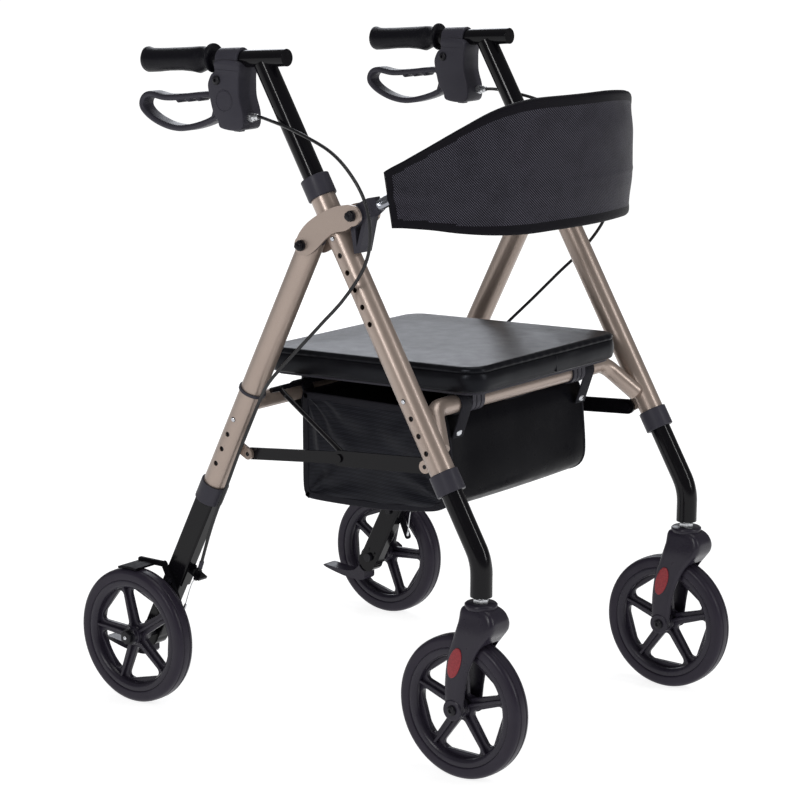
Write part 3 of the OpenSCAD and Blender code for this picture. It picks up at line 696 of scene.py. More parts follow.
def rounded_polygon(corners, radius, per_corner=6):
    """A convex outline, counter-clockwise, grown by radius with its corners rounded."""
    outline = []
    for before, here, after in zip([corners[-1], *corners[:-1]], corners, [*corners[1:], corners[0]]):
        start = math.atan2(-(here[0] - before[0]), here[1] - before[1])
        end = math.atan2(-(after[0] - here[0]), after[1] - here[1])
        turn = (end - start) % (2 * math.pi)
        for k in range(per_corner + 1):
            a = start + turn * k / per_corner
            outline.append((here[0] + radius * math.cos(a), here[1] + radius * math.sin(a)))
    return outline


def wheel_window(turn):
    """The rounded triangle between two spokes."""
    corners = ((WINDOW_TIP, 0), (WINDOW_FAR, -WINDOW_HALF), (WINDOW_FAR, WINDOW_HALF))
    return rounded_polygon([(r * math.cos(turn + a), r * math.sin(turn + a)) for r, a in corners],
        WINDOW_CORNER)


def rim_mesh(turn):
    """A five-spoke moulded rim about the origin: web with windows, a rib on each spoke, barrel and hub."""
    turns = [math.radians(turn + 360 * k / SPOKES) for k in range(SPOKES)]
    windows = [wheel_window(a + math.pi / SPOKES) for a in turns]
    parts = [plate([disc(WEB_R, 120), *windows], 0.0075, 0.0012, UPRIGHT)]
    rib = mm((8, -10.2), (30, -8.2), (55, -8), (72.5, -9.6), (72.5, 9.6), (55, 8), (30, 8.2), (8, 10.2))
    for a in turns:
        parts.append(plate([rib], 0.0042, 0.001, Matrix.Rotation(-a, 4, "Y")))
    barrel = two_sided(mm((13.2, 82.9), (13.6, 82.2), (13.6, 76.5), (13, 75.2), (11.2, 72.8), (9, 71.6)))
    parts.append(lathe(barrel, steps=120, closed=True))
    hub = two_sided(mm((17.3, 0), (17.3, 11.2), (16.5, 12.4), (12, 12.8), (11.5, 14), (10.5, 14.6)))
    parts.append(lathe(hub, steps=48))
    return merge("rim", *parts)


def tyre_mesh():
    """A solid tyre with rounded shoulders and two grooves round the tread."""
    half = mm((13.3, 83.1), (14.6, 84.2), (15, 85.8), (15, 92.5), (14.6, 94.8), (13.6, 96.8), (12, 98.3),
        (9.8, 99.3), (7.4, 99.7), (6.8, 99), (6, 98.6), (5.2, 99), (4.6, 99.8), (2.2, 100))
    return lathe(two_sided(half), steps=144, closed=True)


def make_wheels():
    for side, _ in SIDES:
        for end in ("front", "rear"):
            at = joint_at(f"{end}_wheel_spin_{side}")
            body = f"{end}_wheel_{side}"
            for kind, mesh, shader in (("rim", rim_mesh(SPOKE_TURN[f"{end}_{side}"]), WHEEL_PLASTIC),
                    ("tyre", tyre_mesh(), TYRE)):
                mesh.transform(Matrix.Translation(at))
                put(f"{end}_wheel_{kind}_{side}", mesh, shader, body, f"{end}_{kind}_{side}", sharp=32)


# ---------- casters ----------
LEG_Y = 0.2545
FRONT_AXLE = Vector((0.283, 0, 0.1))
FORK_HALF = 0.0262
FORK_GAP = 0.019
FORK_SIDE = mm((289, 244), (286, 224), (280, 202), (271, 176), (266.5, 140), (267.5, 102), (273.5, 88),
    (283, 84.5), (292.5, 88), (298.5, 102), (302, 130), (308, 158), (320, 184), (333, 202),
    (342, 214), (344, 227), (338, 239), (326, 245), (308, 246))
WHEEL_ROOM = 0.105
LENS_HALF_W = 0.0098
LENS_HALF_H = 0.0226
LENS_TILT = math.radians(17)


def fork_mesh():
    """A moulded caster fork: two arms that trail from a rounded crown, open for the wheel."""
    body = moulded(plate([smooth(FORK_SIDE, 5, True)], 2 * FORK_HALF, 0.0075, UPRIGHT), 0.0022, 3)
    for vert in body.vertices:
        vert.co.y *= 1 - 0.24 * ramp(vert.co.z, 0.204, 0.248)
    room = lathe(two_sided([(FORK_GAP, 0), (FORK_GAP, WHEEL_ROOM)]), FRONT_AXLE, steps=96)
    mouth = block((FRONT_AXLE.x + 0.02, -FORK_GAP, 0.08), (0.4, FORK_GAP, 0.186))
    boss = lathe([(-FORK_HALF + 0.0005, 0), (-FORK_HALF - 0.0012, 0.0125), (-FORK_HALF - 0.0012, 0.014),
        (-FORK_HALF + 0.0005, 0.015)], FRONT_AXLE, steps=48)
    shape = carved(carved(body, room), mouth)
    lip = lathe(mm((0, 10), (0, 20.5), (1.5, 22.2), (6.5, 22.2), (8, 20.5), (8, 8)),
        (0.31, 0, 0.2415), (0, 0, 1), 64)
    return merge("fork", moulded(shape, 0.0015, 16), lip, boss, mirrored(boss.copy(), -1))


def make_casters():
    for side, sign in SIDES:
        body = f"caster_{side}"
        fork = fork_mesh()
        fork.transform(Matrix.Translation((0, sign * LEG_Y, 0)))
        put(f"fork_{side}", fork, WHEEL_PLASTIC, body, f"caster_fork_{side}", sharp=85)
        for out in (1, -1):
            face = Vector((FRONT_AXLE.x, sign * LEG_Y + out * (FORK_HALF + 0.001), FRONT_AXLE.z))
            put(f"front_axle_bolt_{side}_{'outer' if out > 0 else 'inner'}",
                screw_mesh(face, (0, out, 0), 0.007, 0.0036, 0.003), BOLT, body)
            lens_at = Matrix.Translation((0.2865, sign * LEG_Y + out * (FORK_HALF + 0.0001), 0.167))
            lens = plate([[(LENS_HALF_W * x, LENS_HALF_H * y) for x, y in disc(1, 48)]], 0.0026, 0.0008,
                lens_at @ Matrix.Rotation(LENS_TILT, 4, "Y") @ UPRIGHT)
            put(f"reflector_{side}_{'outer' if out > 0 else 'inner'}", lens, REFLECTOR, body,
                *([f"caster_reflectors_{side}"] if out > 0 else []))


# ---------- handles ----------
BAR_SLOPE = math.radians(4.4)
BAR_ALONG = Vector((-math.cos(BAR_SLOPE), 0, -math.sin(BAR_SLOPE)))
GRIP_LENGTH = 0.129
GRIP_SIDES = 40
SCREW_SIDES = 24


def grip_mesh(start, along):
    """A soft grip: a flange, a waist and a palm-shaped body with a bulge below."""
    stations = mm((-0.5, 14), (0, 18.5), (1.2, 20.2), (3.4, 20.4), (5.2, 19), (7.2, 16.4), (11, 15.2),
        (16, 15.6), (21, 16.8), (28, 17.2), (40, 16.8), (60, 16.6), (85, 16.4), (105, 16.6),
        (118, 17), (124.5, 17.2), (127.5, 16), (129, 13), (129.4, 0.1))
    bm = bmesh.new()
    up, across = frame_along(along)
    rings = []
    for s, radius in stations:
        ring = []
        body = max(0.0, min(1.0, (s - 0.016) / 0.012)) * max(0.0, min(1.0, (0.127 - s) / 0.006))
        below = 0.004 * math.exp(-((s - 0.031) / 0.01) ** 2) + 0.001 * math.exp(-((s - 0.11) / 0.012) ** 2)
        lip = 0.003 * math.exp(-((s - 0.1265) / 0.003) ** 2)
        for k in range(GRIP_SIDES):
            a = 2 * math.pi * k / GRIP_SIDES
            grow = body * (0.0006 - 0.001 * math.cos(2 * a)) + below * max(0, -math.cos(a)) ** 2
            grow += lip * max(0, math.cos(a)) ** 3
            out = (up * math.cos(a) + across * math.sin(a)) * (radius + grow)
            ring.append(bm.verts.new(start + along * s + out))
        rings.append(ring)
    skin(bm, rings)
    bm.faces.new(rings[-1])
    bm.faces.new(rings[0])
    return to_mesh(bm, "grip")


def screw_mesh(at, axis, radius, height, socket):
    """A domed screw head with a hexagon socket."""
    dome = ((0, 1), (0.25, 1), (0.6, 0.94), (0.85, 0.78), (1, 0.55))
    hole = ((1, 1.08), (1, 1), (0.35, 1), (0.35, 0))
    profile = [(height * up, radius * out) for up, out in dome]
    profile += [(height * up, socket * out) for up, out in hole]
    bm = bmesh.new()
    at, axis = Vector(at), Vector(axis).normalized()
    u, v = frame_along(axis)
    rings = []
    for along, r in profile:
        flat = r <= socket
        count = SCREW_SIDES if r > 0 else 1
        ring = []
        for k in range(count):
            a = 2 * math.pi * k / SCREW_SIDES
            hexagon = math.cos(math.pi / 6) / math.cos((a % (math.pi / 3)) - math.pi / 6) if flat else 1
            ring.append(bm.verts.new(at + axis * along + (u * math.cos(a) + v * math.sin(a)) * r * hexagon))
        rings.append(ring)
    skin(bm, rings)
    bm.faces.new(rings[0])
    return to_mesh(bm, "screw")


def nut_mesh(at, axis):
    """A domed lock nut with the bolt's threaded end standing out of it."""
    thread = [(3 + 0.9 * turn + rise, 2.8 + rise * 8 / 9) for turn in range(6) for rise in (0, 0.45)]
    return turned(at, axis, (6, mm((0, 0), (0, 6.4), (0.6, 7), (3.6, 7), (4.2, 6.4), (4.2, 3))),
        (32, mm((4, 3), (4, 5.2), (5.2, 5), (5.8, 4.2), (5.8, 3))),
        (24, mm((2, 0), *thread, (8.8, 2.4), (9, 0))))


BRAKE_Y = 0.256
LEVER_HALF = 0.0125
CHEEK_INSIDE = 0.0133
CHEEK_OUTSIDE = 0.0198
HOUSING = mm((-138, 942), (-97, 942), (-95.5, 918), (-94.5, 895), (-87.5, 871), (-92.5, 850), (-128, 850),
    (-134.5, 862), (-143, 872), (-150, 896), (-152, 910), (-146, 923), (-139.5, 928))
LEVER_LOOP = mm((-150, 892.5), (-176, 892), (-204, 888), (-242, 884.5), (-270, 887.5), (-283.5, 881),
    (-285, 868), (-268, 855), (-240, 845.5), (-211, 843.5), (-176, 851), (-148, 863), (-138, 878))
LEVER_BODY = mm((-142, 914), (-156, 897), (-149, 878), (-152, 860), (-131, 866), (-116, 885), (-114, 905),
    (-127, 918))
BAR_START = (-0.0243, BRAKE_Y, 0.9515)
CLAMP_FROM = 0.078
BARREL_AT = Vector((-0.11, BRAKE_Y + 0.006, 0.864))
BARREL_ALONG = Vector((0.9925, 0, 0.1219))
FINGER_STEPS = mm((-178, 888.4), (-197, 886.2), (-216, 884))


def upright_plate(outline, thickness, bevel, y):
    mesh = plate([outline], thickness, bevel, UPRIGHT)
    mesh.transform(Matrix.Translation((0, y, 0)))
    return mesh


def housing_mesh():
    """The brake's moulded housing: two cheeks and a front wall, with a clamp round the bar."""
    body = upright_plate(smooth(HOUSING, 5, True), 2 * CHEEK_OUTSIDE, 0.0026, BRAKE_Y)
    slot = block((-0.17, BRAKE_Y - CHEEK_INSIDE, 0.83), (-0.103, BRAKE_Y + CHEEK_INSIDE, 0.926))
    edges = (BRAKE_Y - CHEEK_OUTSIDE, BRAKE_Y + CHEEK_OUTSIDE)
    split = [block((-0.17, y - 0.0006, 0.93), (-0.08, y + 0.0006, 0.9309)) for y in edges]
    body = carved(carved(body, slot), merge("split", *split))
    start = Vector(BAR_START) + BAR_ALONG * CLAMP_FROM
    clamp = lathe(mm((0, 12.2), (0, 15), (1, 15.8), (39, 15.8), (40, 15), (40, 12.2)),
        start, BAR_ALONG, 64, closed=True)
    badge = lathe(mm((-2, 15), (0.3, 15), (0.7, 14.5), (0.1, 14), (0.1, 13.6), (0.6, 13.1), (0.7, 0)),
        (-0.121, BRAKE_Y + CHEEK_OUTSIDE, 0.8884), steps=64)
    tab = upright_plate(mm((-118, 851), (-104, 851), (-106, 845.5), (-116, 845.5)), 0.012, 0.001, BRAKE_Y)
    return merge("housing", body, clamp, badge, tab)


def lever_mesh():
    """The brake lever: a rounded loop for four fingers on a plate that turns in the housing."""
    loop = [Vector((p[0], BRAKE_Y, p[1])) for p in smooth(LEVER_LOOP, 6, True)]
    bar = rounded(2 * LEVER_HALF, 0.0088, 0.004, 4)
    parts = [sweep(loop, bar, closed=True),
        upright_plate(smooth(LEVER_BODY, 5, True), 2 * LEVER_HALF, 0.0018, BRAKE_Y)]
    for x, z in FINGER_STEPS:
        parts.append(lathe(two_sided(mm((11, 0), (11, 3.6), (9, 5.2))), (x, BRAKE_Y, z), ACROSS, 24))
    return merge("lever", *parts)


def make_handles():
    for side, sign in SIDES:
        body = f"handle_{side}"
        low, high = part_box(f"grip_{side}")
        start = (low + high) / 2 - BAR_ALONG * (GRIP_LENGTH / 2)
        put(f"rubber_grip_{side}", grip_mesh(start, BAR_ALONG), GRIP, body, f"grip_{side}", sharp=60)
        shell = mirrored(housing_mesh(), sign)
        put(f"brake_shell_{side}", shell, PLASTIC, body, f"brake_housing_{side}", sharp=30)
        barrel = turned(BARREL_AT, BARREL_ALONG,
            (32, mm((8, 0), (8, 4), (38.5, 4), (39.5, 3.2), (39.5, 0))),
            (6, mm((22.5, 3), (22.5, 6.4), (29.5, 6.4), (29.5, 3))),
            (32, mm((30, 3), (30, 5.2), (34.5, 5.2), (35, 4.5), (35, 3))))
        put(f"cable_barrel_{side}", mirrored(barrel, sign), ZINC, body, sharp=30)
        pivot = joint_at(f"brake_squeeze_{side}")
        outward = Vector((0, sign, 0))
        screws = [screw_mesh(pivot + out * CHEEK_OUTSIDE, out, 0.0064, height, 0.0026)
            for out, height in ((outward, 0.0042), (-outward, 0.0036))]
        put(f"brake_pivot_screw_{side}", merge("screws", *screws), BOLT, body)
        lever = mirrored(lever_mesh(), sign)
        put(f"lever_{side}", lever, PLASTIC, f"brake_lever_{side}", f"brake_lever_{side}", sharp=40)


# ---------- seat cushion ----------
MOUNTS = {mount["name"]: mount for mount in frame["record"]["mounts"]}
SEAT_T = 0.036
SEAT_CORNER = 0.03
SEAM_Z = -0.009
CROWN = 0.003
FOOT_RISE = 0.005
EDGE_R = 0.0066
OUTLINE_STEP = 0.0035
STITCH_STEP = 0.0045
SIDE_RINGS = 14
EDGE_RINGS = 8
TOP_RINGS = 22


def ramp(value, low, high):
    """0 below low, 1 above high, and a smooth rise between."""
    share = max(0.0, min(1.0, (value - low) / (high - low)))
    return share * share * (3 - 2 * share)


def seat_axes():
    normal = Vector(MOUNTS["seat_top"]["axis"]).normalized()
    return Vector(MOUNTS["seat_top"]["pos_m"]), Vector(ACROSS).cross(normal), normal


def seat_place():
    """Maps the seat's own x (forward), y (left) and z (up from its top) to the walker."""
    top, forward, normal = seat_axes()
    turn = Matrix((forward, ACROSS, normal)).transposed().to_4x4()
    return Matrix.Translation(top) @ turn


def even_steps(outline, spacing):
    """Points spaced evenly round a closed outline."""
    loop = [Vector(p) for p in outline]
    ends = list(zip(loop, loop[1:] + loop[:1]))
    total = sum((b - a).length for a, b in ends)
    count = round(total / spacing)
    found, travelled, k = [], 0.0, 0
    for a, b in ends:
        run = (b - a).length
        while k < count and k * total / count < travelled + run - 1e-9:
            found.append(a.lerp(b, (k * total / count - travelled) / run))
            k += 1
        travelled += run
    return found


def cushion_mesh(length, width):
    """The cushion in its own frame: a sewn cover pulled over foam, with a seam below its top edge."""
    outline = even_steps(rounded(length, width, SEAT_CORNER, 12), OUTLINE_STEP)
    count = len(outline)
    facing = []
    for i in range(count):
        run = (outline[(i + 1) % count] - outline[i - 1]).normalized()
        facing.append(Vector((run.y, -run.x)))
    bottom = -SEAT_T
    profile = [(0.006, bottom), (0.0025, bottom + 0.0004), (0.0006, bottom + 0.0022), (0, bottom + FOOT_RISE)]
    for k in range(1, SIDE_RINGS + 1):
        share = k / SIDE_RINGS
        z = bottom + FOOT_RISE + (SEAM_Z - 0.001 - bottom - FOOT_RISE) * share
        profile.append((-0.002 * math.sin(math.pi * share) ** 0.8, z))
    profile += [(0.0011, SEAM_Z), (0.0001, SEAM_Z + 0.0012)]
    for k in range(EDGE_RINGS + 1):
        turn = math.radians(90) * k / EDGE_RINGS
        profile.append((EDGE_R * (1 - math.cos(turn)) - 0.0004, SEAM_Z + 0.0024 + EDGE_R * math.sin(turn)))
    bm = bmesh.new()
    rings = []
    for inset, z in profile:
        ring = []
        for i, (spot, out) in enumerate(zip(outline, facing)):
            flank = ramp(z, bottom + 0.004, bottom + 0.01) * ramp(SEAM_Z - z, 0.0, 0.006)
            fold = 0.0013 * noise.noise((spot.x * 26, spot.y * 26, z * 24)) * flank
            pucker = 0.00045 * math.sin(i * 1.15 + 2.5 * noise.noise((spot.x * 40, spot.y * 40, 1)))
            pucker *= math.exp(-((z - SEAM_Z - 0.004) / 0.0035) ** 2)
            at = spot + out * (fold + pucker - inset)
            ring.append(bm.verts.new((at.x, at.y, z)))
        rings.append(ring)
    rim_z = profile[-1][1]
    for step in range(1, TOP_RINGS):
        share = 1 - (step / TOP_RINGS) ** 1.5
        ring = []
        for spot, out in zip(outline, facing):
            at = (spot - out * profile[-1][0]) * share
            crown = CROWN * ramp(1 - share, 0.0, 0.45)
            wave = 0.0006 * noise.noise((at.x * 10, at.y * 10, 3)) * ramp(1 - share, 0.0, 0.15)
            ring.append(bm.verts.new((at.x, at.y, rim_z + crown + wave)))
        rings.append(ring)
    skin(bm, [*rings, [bm.verts.new((0, 0, rim_z + CROWN))]])
    bm.faces.new(rings[0])
    return to_mesh(bm, "cushion")


def make_cushion():
    low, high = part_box("seat_cushion")
    width = high.y - low.y
    tilt = math.acos(seat_axes()[2].z)
    length = (high.x - low.x - SEAT_T * math.sin(tilt)) / math.cos(tilt)
    parts = [cushion_mesh(length, width)]
    stitch = even_steps(rounded(length, width, SEAT_CORNER, 12), STITCH_STEP)
    for i, spot in enumerate(stitch):
        after = stitch[(i + 1) % len(stitch)]
        p, q = (Vector((*spot.lerp(after, share), SEAM_Z + 0.003)) for share in (0.15, 0.75))
        parts.append(sweep([p, q], disc(0.00045, 5), (0, 0, 1)))
    seam = [Vector((length / 2 + 0.0008, 0.012, z)) for z in (-0.011, -0.015, -0.02, -0.026, -0.033)]
    parts.append(sweep(seam, disc(0.0012, 8)))
    mesh = merge("cushion", *parts)
    mesh.transform(seat_place())
    cushion = put("seat_pad", mesh, VINYL, "seat", "seat_cushion", sharp=75)


# ---------- backrest ----------
BAND_BOW = 0.2
BAND_HALF_W = 0.234
BAND_SPAN = math.radians(82.5)
BINDING_W = 0.0125
TUBE_Z = 0.772
TUBE_RISE = 0.02
BAND_COLUMNS = 160
BAND_ROWS = 34
EDGE_ROUND = 0.0045
TAPE_HALF = 0.0056
FIELD_HALF = 0.0052
FIELD_RISE = 0.0036
TAPE_STEP = 0.0003
BAND_BOTTOM = mm((122, 733), (186, 732), (222, 727.7), (253, 724.7), (278, 724.3), (300, 727.2),
    (330, 729))
BAND_TOP = mm((122, 800), (146, 818), (186, 843.8), (222, 869.5), (253, 892.6), (278, 905), (300, 907.8),
    (330, 908.5))


def curve_height(points, x):
    """Height of a smooth line through points (x, z) at x."""
    last = len(points) - 1
    i = next((k for k in range(last) if x <= points[k + 1][0]), last - 1)
    a, b, c, d = (points[max(0, min(last, i + k))] for k in (-1, 0, 1, 2))
    t = max(0.0, min(1.0, (x - b[0]) / (c[0] - b[0])))
    rise_b = (c[1] - a[1]) / max(c[0] - a[0], 1e-6) * (c[0] - b[0])
    rise_c = (d[1] - b[1]) / max(d[0] - b[0], 1e-6) * (c[0] - b[0])
    return ((2 * t ** 3 - 3 * t * t + 1) * b[1] + (t ** 3 - 2 * t * t + t) * rise_b
        + (3 * t * t - 2 * t ** 3) * c[1] + (t ** 3 - t * t) * rise_c)


def make_backrest():
    centre = joint_at("backrest_flip")
    arc = [0.0]

    def line(angle, out=0.0):
        out += 0.011 * ramp(abs(angle), math.radians(75), math.radians(83))
        return Vector((centre.x + (BAND_BOW + out) * math.cos(angle),
            (BAND_HALF_W + out) * math.sin(angle), 0))

    for i in range(BAND_COLUMNS):
        a, b = (-BAND_SPAN + 2 * BAND_SPAN * k / BAND_COLUMNS for k in (i, i + 1))
        arc.append(arc[-1] + (line(b) - line(a)).length)

    def half_thickness(inside):
        """Half the pad's thickness at a distance in from its nearest edge."""
        round_edge = math.sqrt(max(0.0, 1 - (1 - min(inside / EDGE_ROUND, 1)) ** 2))
        tape = TAPE_HALF * round_edge * (1 - ramp(inside, BINDING_W - TAPE_STEP, BINDING_W + TAPE_STEP))
        field = FIELD_HALF + FIELD_RISE * ramp(inside, BINDING_W, 0.055)
        return tape + field * ramp(inside, BINDING_W - TAPE_STEP, BINDING_W + TAPE_STEP)

    bm = bmesh.new()
    bm.loops.layers.uv.new("cloth")
    shares = sorted({0.0, 0.006, 0.015, 0.03, 0.055, 0.08, 0.5}
        | {0.1 + 0.8 * k / BAND_ROWS for k in range(BAND_ROWS + 1)}
        | {0.92, 0.945, 0.97, 0.985, 0.994, 1.0})
    rings, flats = [], []
    for i in range(BAND_COLUMNS + 1):
        angle = -BAND_SPAN + 2 * BAND_SPAN * i / BAND_COLUMNS
        ring, flat = [], []
        for face in (1, -1):
            for share in (shares if face > 0 else shares[::-1]):
                slant = 0.035 * (1 - share) * ramp(abs(angle), BAND_SPAN * 0.72, BAND_SPAN)
                swung = angle * (1 - slant)
                base = line(swung)
                low, high = curve_height(BAND_BOTTOM, base.x), curve_height(BAND_TOP, base.x)
                high -= 0.009 * ramp(angle, math.radians(2), math.radians(44))
                z = low + (high - low) * share
                inside = min((high - low) * min(share, 1 - share), arc[i], arc[-1] - arc[i])
                end = min(arc[i], arc[-1] - arc[i])
                sleeve = math.exp(-((z - TUBE_Z - TUBE_RISE * math.cos(swung)) / 0.015) ** 2)
                swell = max(half_thickness(inside), 0.0096 * sleeve * math.sqrt(min(end / 0.004, 1)))
                swell += 0.0006 * noise.noise((swung * 5, z * 22, face)) * ramp(inside, 0.015, 0.04)
                point = line(swung, face * swell)
                point.z = z
                ring.append(bm.verts.new(point))
                flat.append((arc[i], z, inside))
        rings.append(ring)
        flats.append(flat)
    count = len(rings[0])

    def cloth_or_tape(i, k):
        corners = ((i, k), (i, k + 1), (i + 1, k + 1), (i + 1, k))
        return 0 if sum(flats[a][b % count][2] for a, b in corners) / 4 > BINDING_W else 1

    cloth_faces(bm, rings, lambda i, k: flats[i][k % count][:2], kind=cloth_or_tape)
    for ring in (rings[0], rings[-1]):
        bm.faces.new(ring).material_index = 1
    bmesh.ops.remove_doubles(bm, verts=bm.verts, dist=1e-6)
    band = put("backrest_pad", to_mesh(bm, "band"), [MESH_CLOTH, EDGING], "backrest",
        "backrest_band", sharp=70)


# ---------- bag ----------
BAG_HALF_W = 0.161
BAG_WALL = 0.003
BAG_RUN = mm((-77, 468), (-77.5, 420), (-77, 370), (-76.5, 336), (-73.5, 321), (-64, 314.5), (0, 315.5),
    (66, 319), (120, 325.5), (160, 332), (179, 341), (188, 354), (190, 372), (187, 410),
    (182, 450), (172, 472.5))
FRONT_FROM = 0.16
TAPE_W = 0.0105
BAG_COLUMNS = 48
BAG_RINGS = 26
RIM_STEPS = 40
BAG_MIDDLE = Vector((0.055, 0, 0.395))
SEAT_BAR = Vector((0.19, 0, 0.487))
REAR_BAR = Vector((-0.093, 0, 0.467))
BAR_R = 0.0125
STRAP_Y = 0.148
STRAP_W = 0.024
STRAP_T = 0.0022


def bag_line():
    return [(p.x, p.z) for p in smooth([(x, 0, z) for x, z in BAG_RUN], 8)]


def side_swell(x, z, sign):
    """How far the side of the bag stands out at a place: a soft belly and creases from its hung corners."""
    middle = (0.055, 0.392)
    out = 0.0045 * max(0.0, 1 - ((x - middle[0]) / 0.13) ** 2) * max(0.0, 1 - ((z - middle[1]) / 0.08) ** 2)
    out += 0.005 * noise.noise((x * 10, z * 10, 4 + sign))
    for corner_x, corner_z, lean, count in ((-0.078, 0.47, -0.75, 15), (0.172, 0.474, -2.35, 13),
            (-0.07, 0.318, 0.65, 11), (0.184, 0.345, 2.6, 11)):
        dx, dz = x - corner_x, z - corner_z
        away = math.hypot(dx, dz)
        turn = math.atan2(dz, dx) - lean
        wave = math.sin(turn * count + 3 * noise.noise((x * 16, z * 16, corner_x * 9 + sign)))
        out += 0.004 * wave * math.exp(-away / 0.1) * ramp(away, 0.004, 0.03)
    return out


def make_bag():
    line = bag_line()
    lowest = min(z for _, z in line)
    rim = [tuple(a + (b - a) * k / RIM_STEPS for a, b in zip(line[-1], line[0])) for k in range(1, RIM_STEPS)]
    along = [0.0]
    for a, b in zip(line, line[1:]):
        along.append(along[-1] + math.dist(a, b))
    bm = bmesh.new()
    layer = bm.loops.layers.uv.new("cloth")
    rows = []
    for (x, z), travelled in zip(line, along):
        row = []
        for k in range(BAG_COLUMNS + 1):
            y = BAG_HALF_W * (1 - 2 * k / BAG_COLUMNS)
            inside = 1 - abs(2 * k / BAG_COLUMNS - 1)
            sag = 0.006 * math.sin(math.pi * (k / BAG_COLUMNS)) ** 0.7 * ramp(0.45 - z, 0.0, 0.1)
            crease = 0.0028 * noise.noise((y * 11, travelled * 8, 2)) * ramp(inside, 0.0, 0.25)
            outward = Vector((1, 0, 0)) if x > FRONT_FROM and z > lowest + 0.03 else Vector((0, 0, -1))
            if x < -0.07:
                outward = Vector((-1, 0, 0))
                sag *= 0.5
            place = Vector((x, y, z)) + outward * ((0.6 * sag + crease) if outward.x else 0.4 * sag)
            row.append(bm.verts.new(place))
        rows.append(row)
    cloth_faces(bm, rows, lambda i, k: (2 * BAG_HALF_W * k / BAG_COLUMNS, along[i]), around=False,
        kind=lambda i, k: 1 if line[i][0] > FRONT_FROM else 0)
    for sign, edge in ((1, [row[0] for row in rows]), (-1, [row[-1] for row in rows])):
        outer = edge + [bm.verts.new((x, sign * BAG_HALF_W, z)) for x, z in rim]
        loops = [outer]
        for r in range(1, BAG_RINGS + 1):
            share = 1 - r / BAG_RINGS
            loop = []
            for vert in outer if share else outer[:1]:
                x = BAG_MIDDLE.x + (vert.co.x - BAG_MIDDLE.x) * share
                z = BAG_MIDDLE.z + (vert.co.z - BAG_MIDDLE.z) * share
                y = sign * (BAG_HALF_W + side_swell(x, z, sign) * ramp(1 - share, 0.02, 0.16))
                loop.append(bm.verts.new((x, y, z)))
            loops.append(loop)
        for face in skin(bm, loops):
            for corner in face.loops:
                corner[layer].uv = (corner.vert.co.z, corner.vert.co.x)
    shell = thicken(to_mesh(bm, "bag"), BAG_WALL, -1.0)
    bag = put("bag_body", shell, [NYLON, FACING], None, "bag", sharp=60)
    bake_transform(bag)
    parts = []
    tape = rounded(0.005, TAPE_W, 0.0016, 3)
    for sign in (1, -1):
        inset = []
        closed_line = line + rim
        for i, (x, z) in enumerate(closed_line):
            before, after = closed_line[i - 1], closed_line[(i + 1) % len(closed_line)]
            run = Vector((after[0] - before[0], 0, after[1] - before[1])).normalized()
            inward = Vector((-run.z, 0, run.x))
            y = sign * (BAG_HALF_W - BAG_WALL / 2 + 0.0004)
            inset.append(Vector((x, y, z)) + inward * (TAPE_W * 0.4))
        parts.append(sweep(inset, tape, closed=True))
    for x, z, lean in ((-0.0755, 0.465, 0.0), (0.1715, 0.469, 0.3)):
        rail = [Vector((x, y / 1000, z)) for y in range(-160, 161, 8)]
        parts.append(sweep(rail, tape, (1, 0, lean)))
    binding = put("bag_binding", merge("tape", *parts), BINDING, None, sharp=60)
    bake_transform(binding)


def over_bar(bar, out, start, end, tail_in, tail_out):
    """A strap's line: up from tail_in, over the bar at radius out between two angles, then to tail_out."""
    arc = [bar + Vector((math.cos(a), 0, math.sin(a))) * out
        for a in (math.radians(start + (end - start) * k / 24) for k in range(25))]
    lead = [Vector(tail_in).lerp(arc[0], k / 6) for k in range(6)]
    tail = [arc[-1].lerp(Vector(tail_out), k / 6) for k in range(1, 7)]
    return lead + arc + tail


def make_straps():
    flat = rounded(STRAP_W, STRAP_T, 0.0008, 2)
    for side, sign in SIDES:
        shift = Matrix.Translation((0, sign * STRAP_Y, 0))
        front = over_bar(SEAT_BAR, BAR_R + 0.0017, 215, -12, (0.1665, 0, 0.462), (0.188, 0, 0.438))
        strap = sweep(front, flat)
        strap.transform(shift)
        put(f"bag_strap_{side}", strap, BINDING, "front_frame",
            *(["bag_straps"] if sign < 0 else []), sharp=60)
        rivet = lathe(mm((0, 6.8), (0.8, 7.2), (2.2, 6.8), (3.4, 5.4), (4, 3), (4.2, 0)),
            (0.1888, sign * STRAP_Y, 0.447), (0.985, 0, 0.17), 32)
        put(f"strap_rivet_{side}", rivet, CHROME, "front_frame")
        rear = over_bar(REAR_BAR, BAR_R + 0.0017, -38, 232, (-0.0795, 0, 0.44), (-0.0815, 0, 0.44))
        loop = sweep(rear, flat)
        loop.transform(shift)
        put(f"bag_loop_{side}", loop, BINDING, "rear_frame", sharp=60)


# ---------- brake cables ----------
CABLE_R = 0.0024
REAR_TILT = math.radians(26.5)
REAR_AXLE = Vector((-0.283, 0, 0.1))
LEG_START = 0.2538
REAR_FOOT = REAR_AXLE + Vector((math.sin(REAR_TILT), 0, math.cos(REAR_TILT))) * LEG_START


def by_leg(along, front, y):
    """A point beside the rear leg: metres along it from its foot, in front of it, and across."""
    return Vector((REAR_FOOT.x + along * math.sin(REAR_TILT) + front * math.cos(REAR_TILT), y,
        REAR_FOOT.z + along * math.cos(REAR_TILT) - front * math.sin(REAR_TILT)))


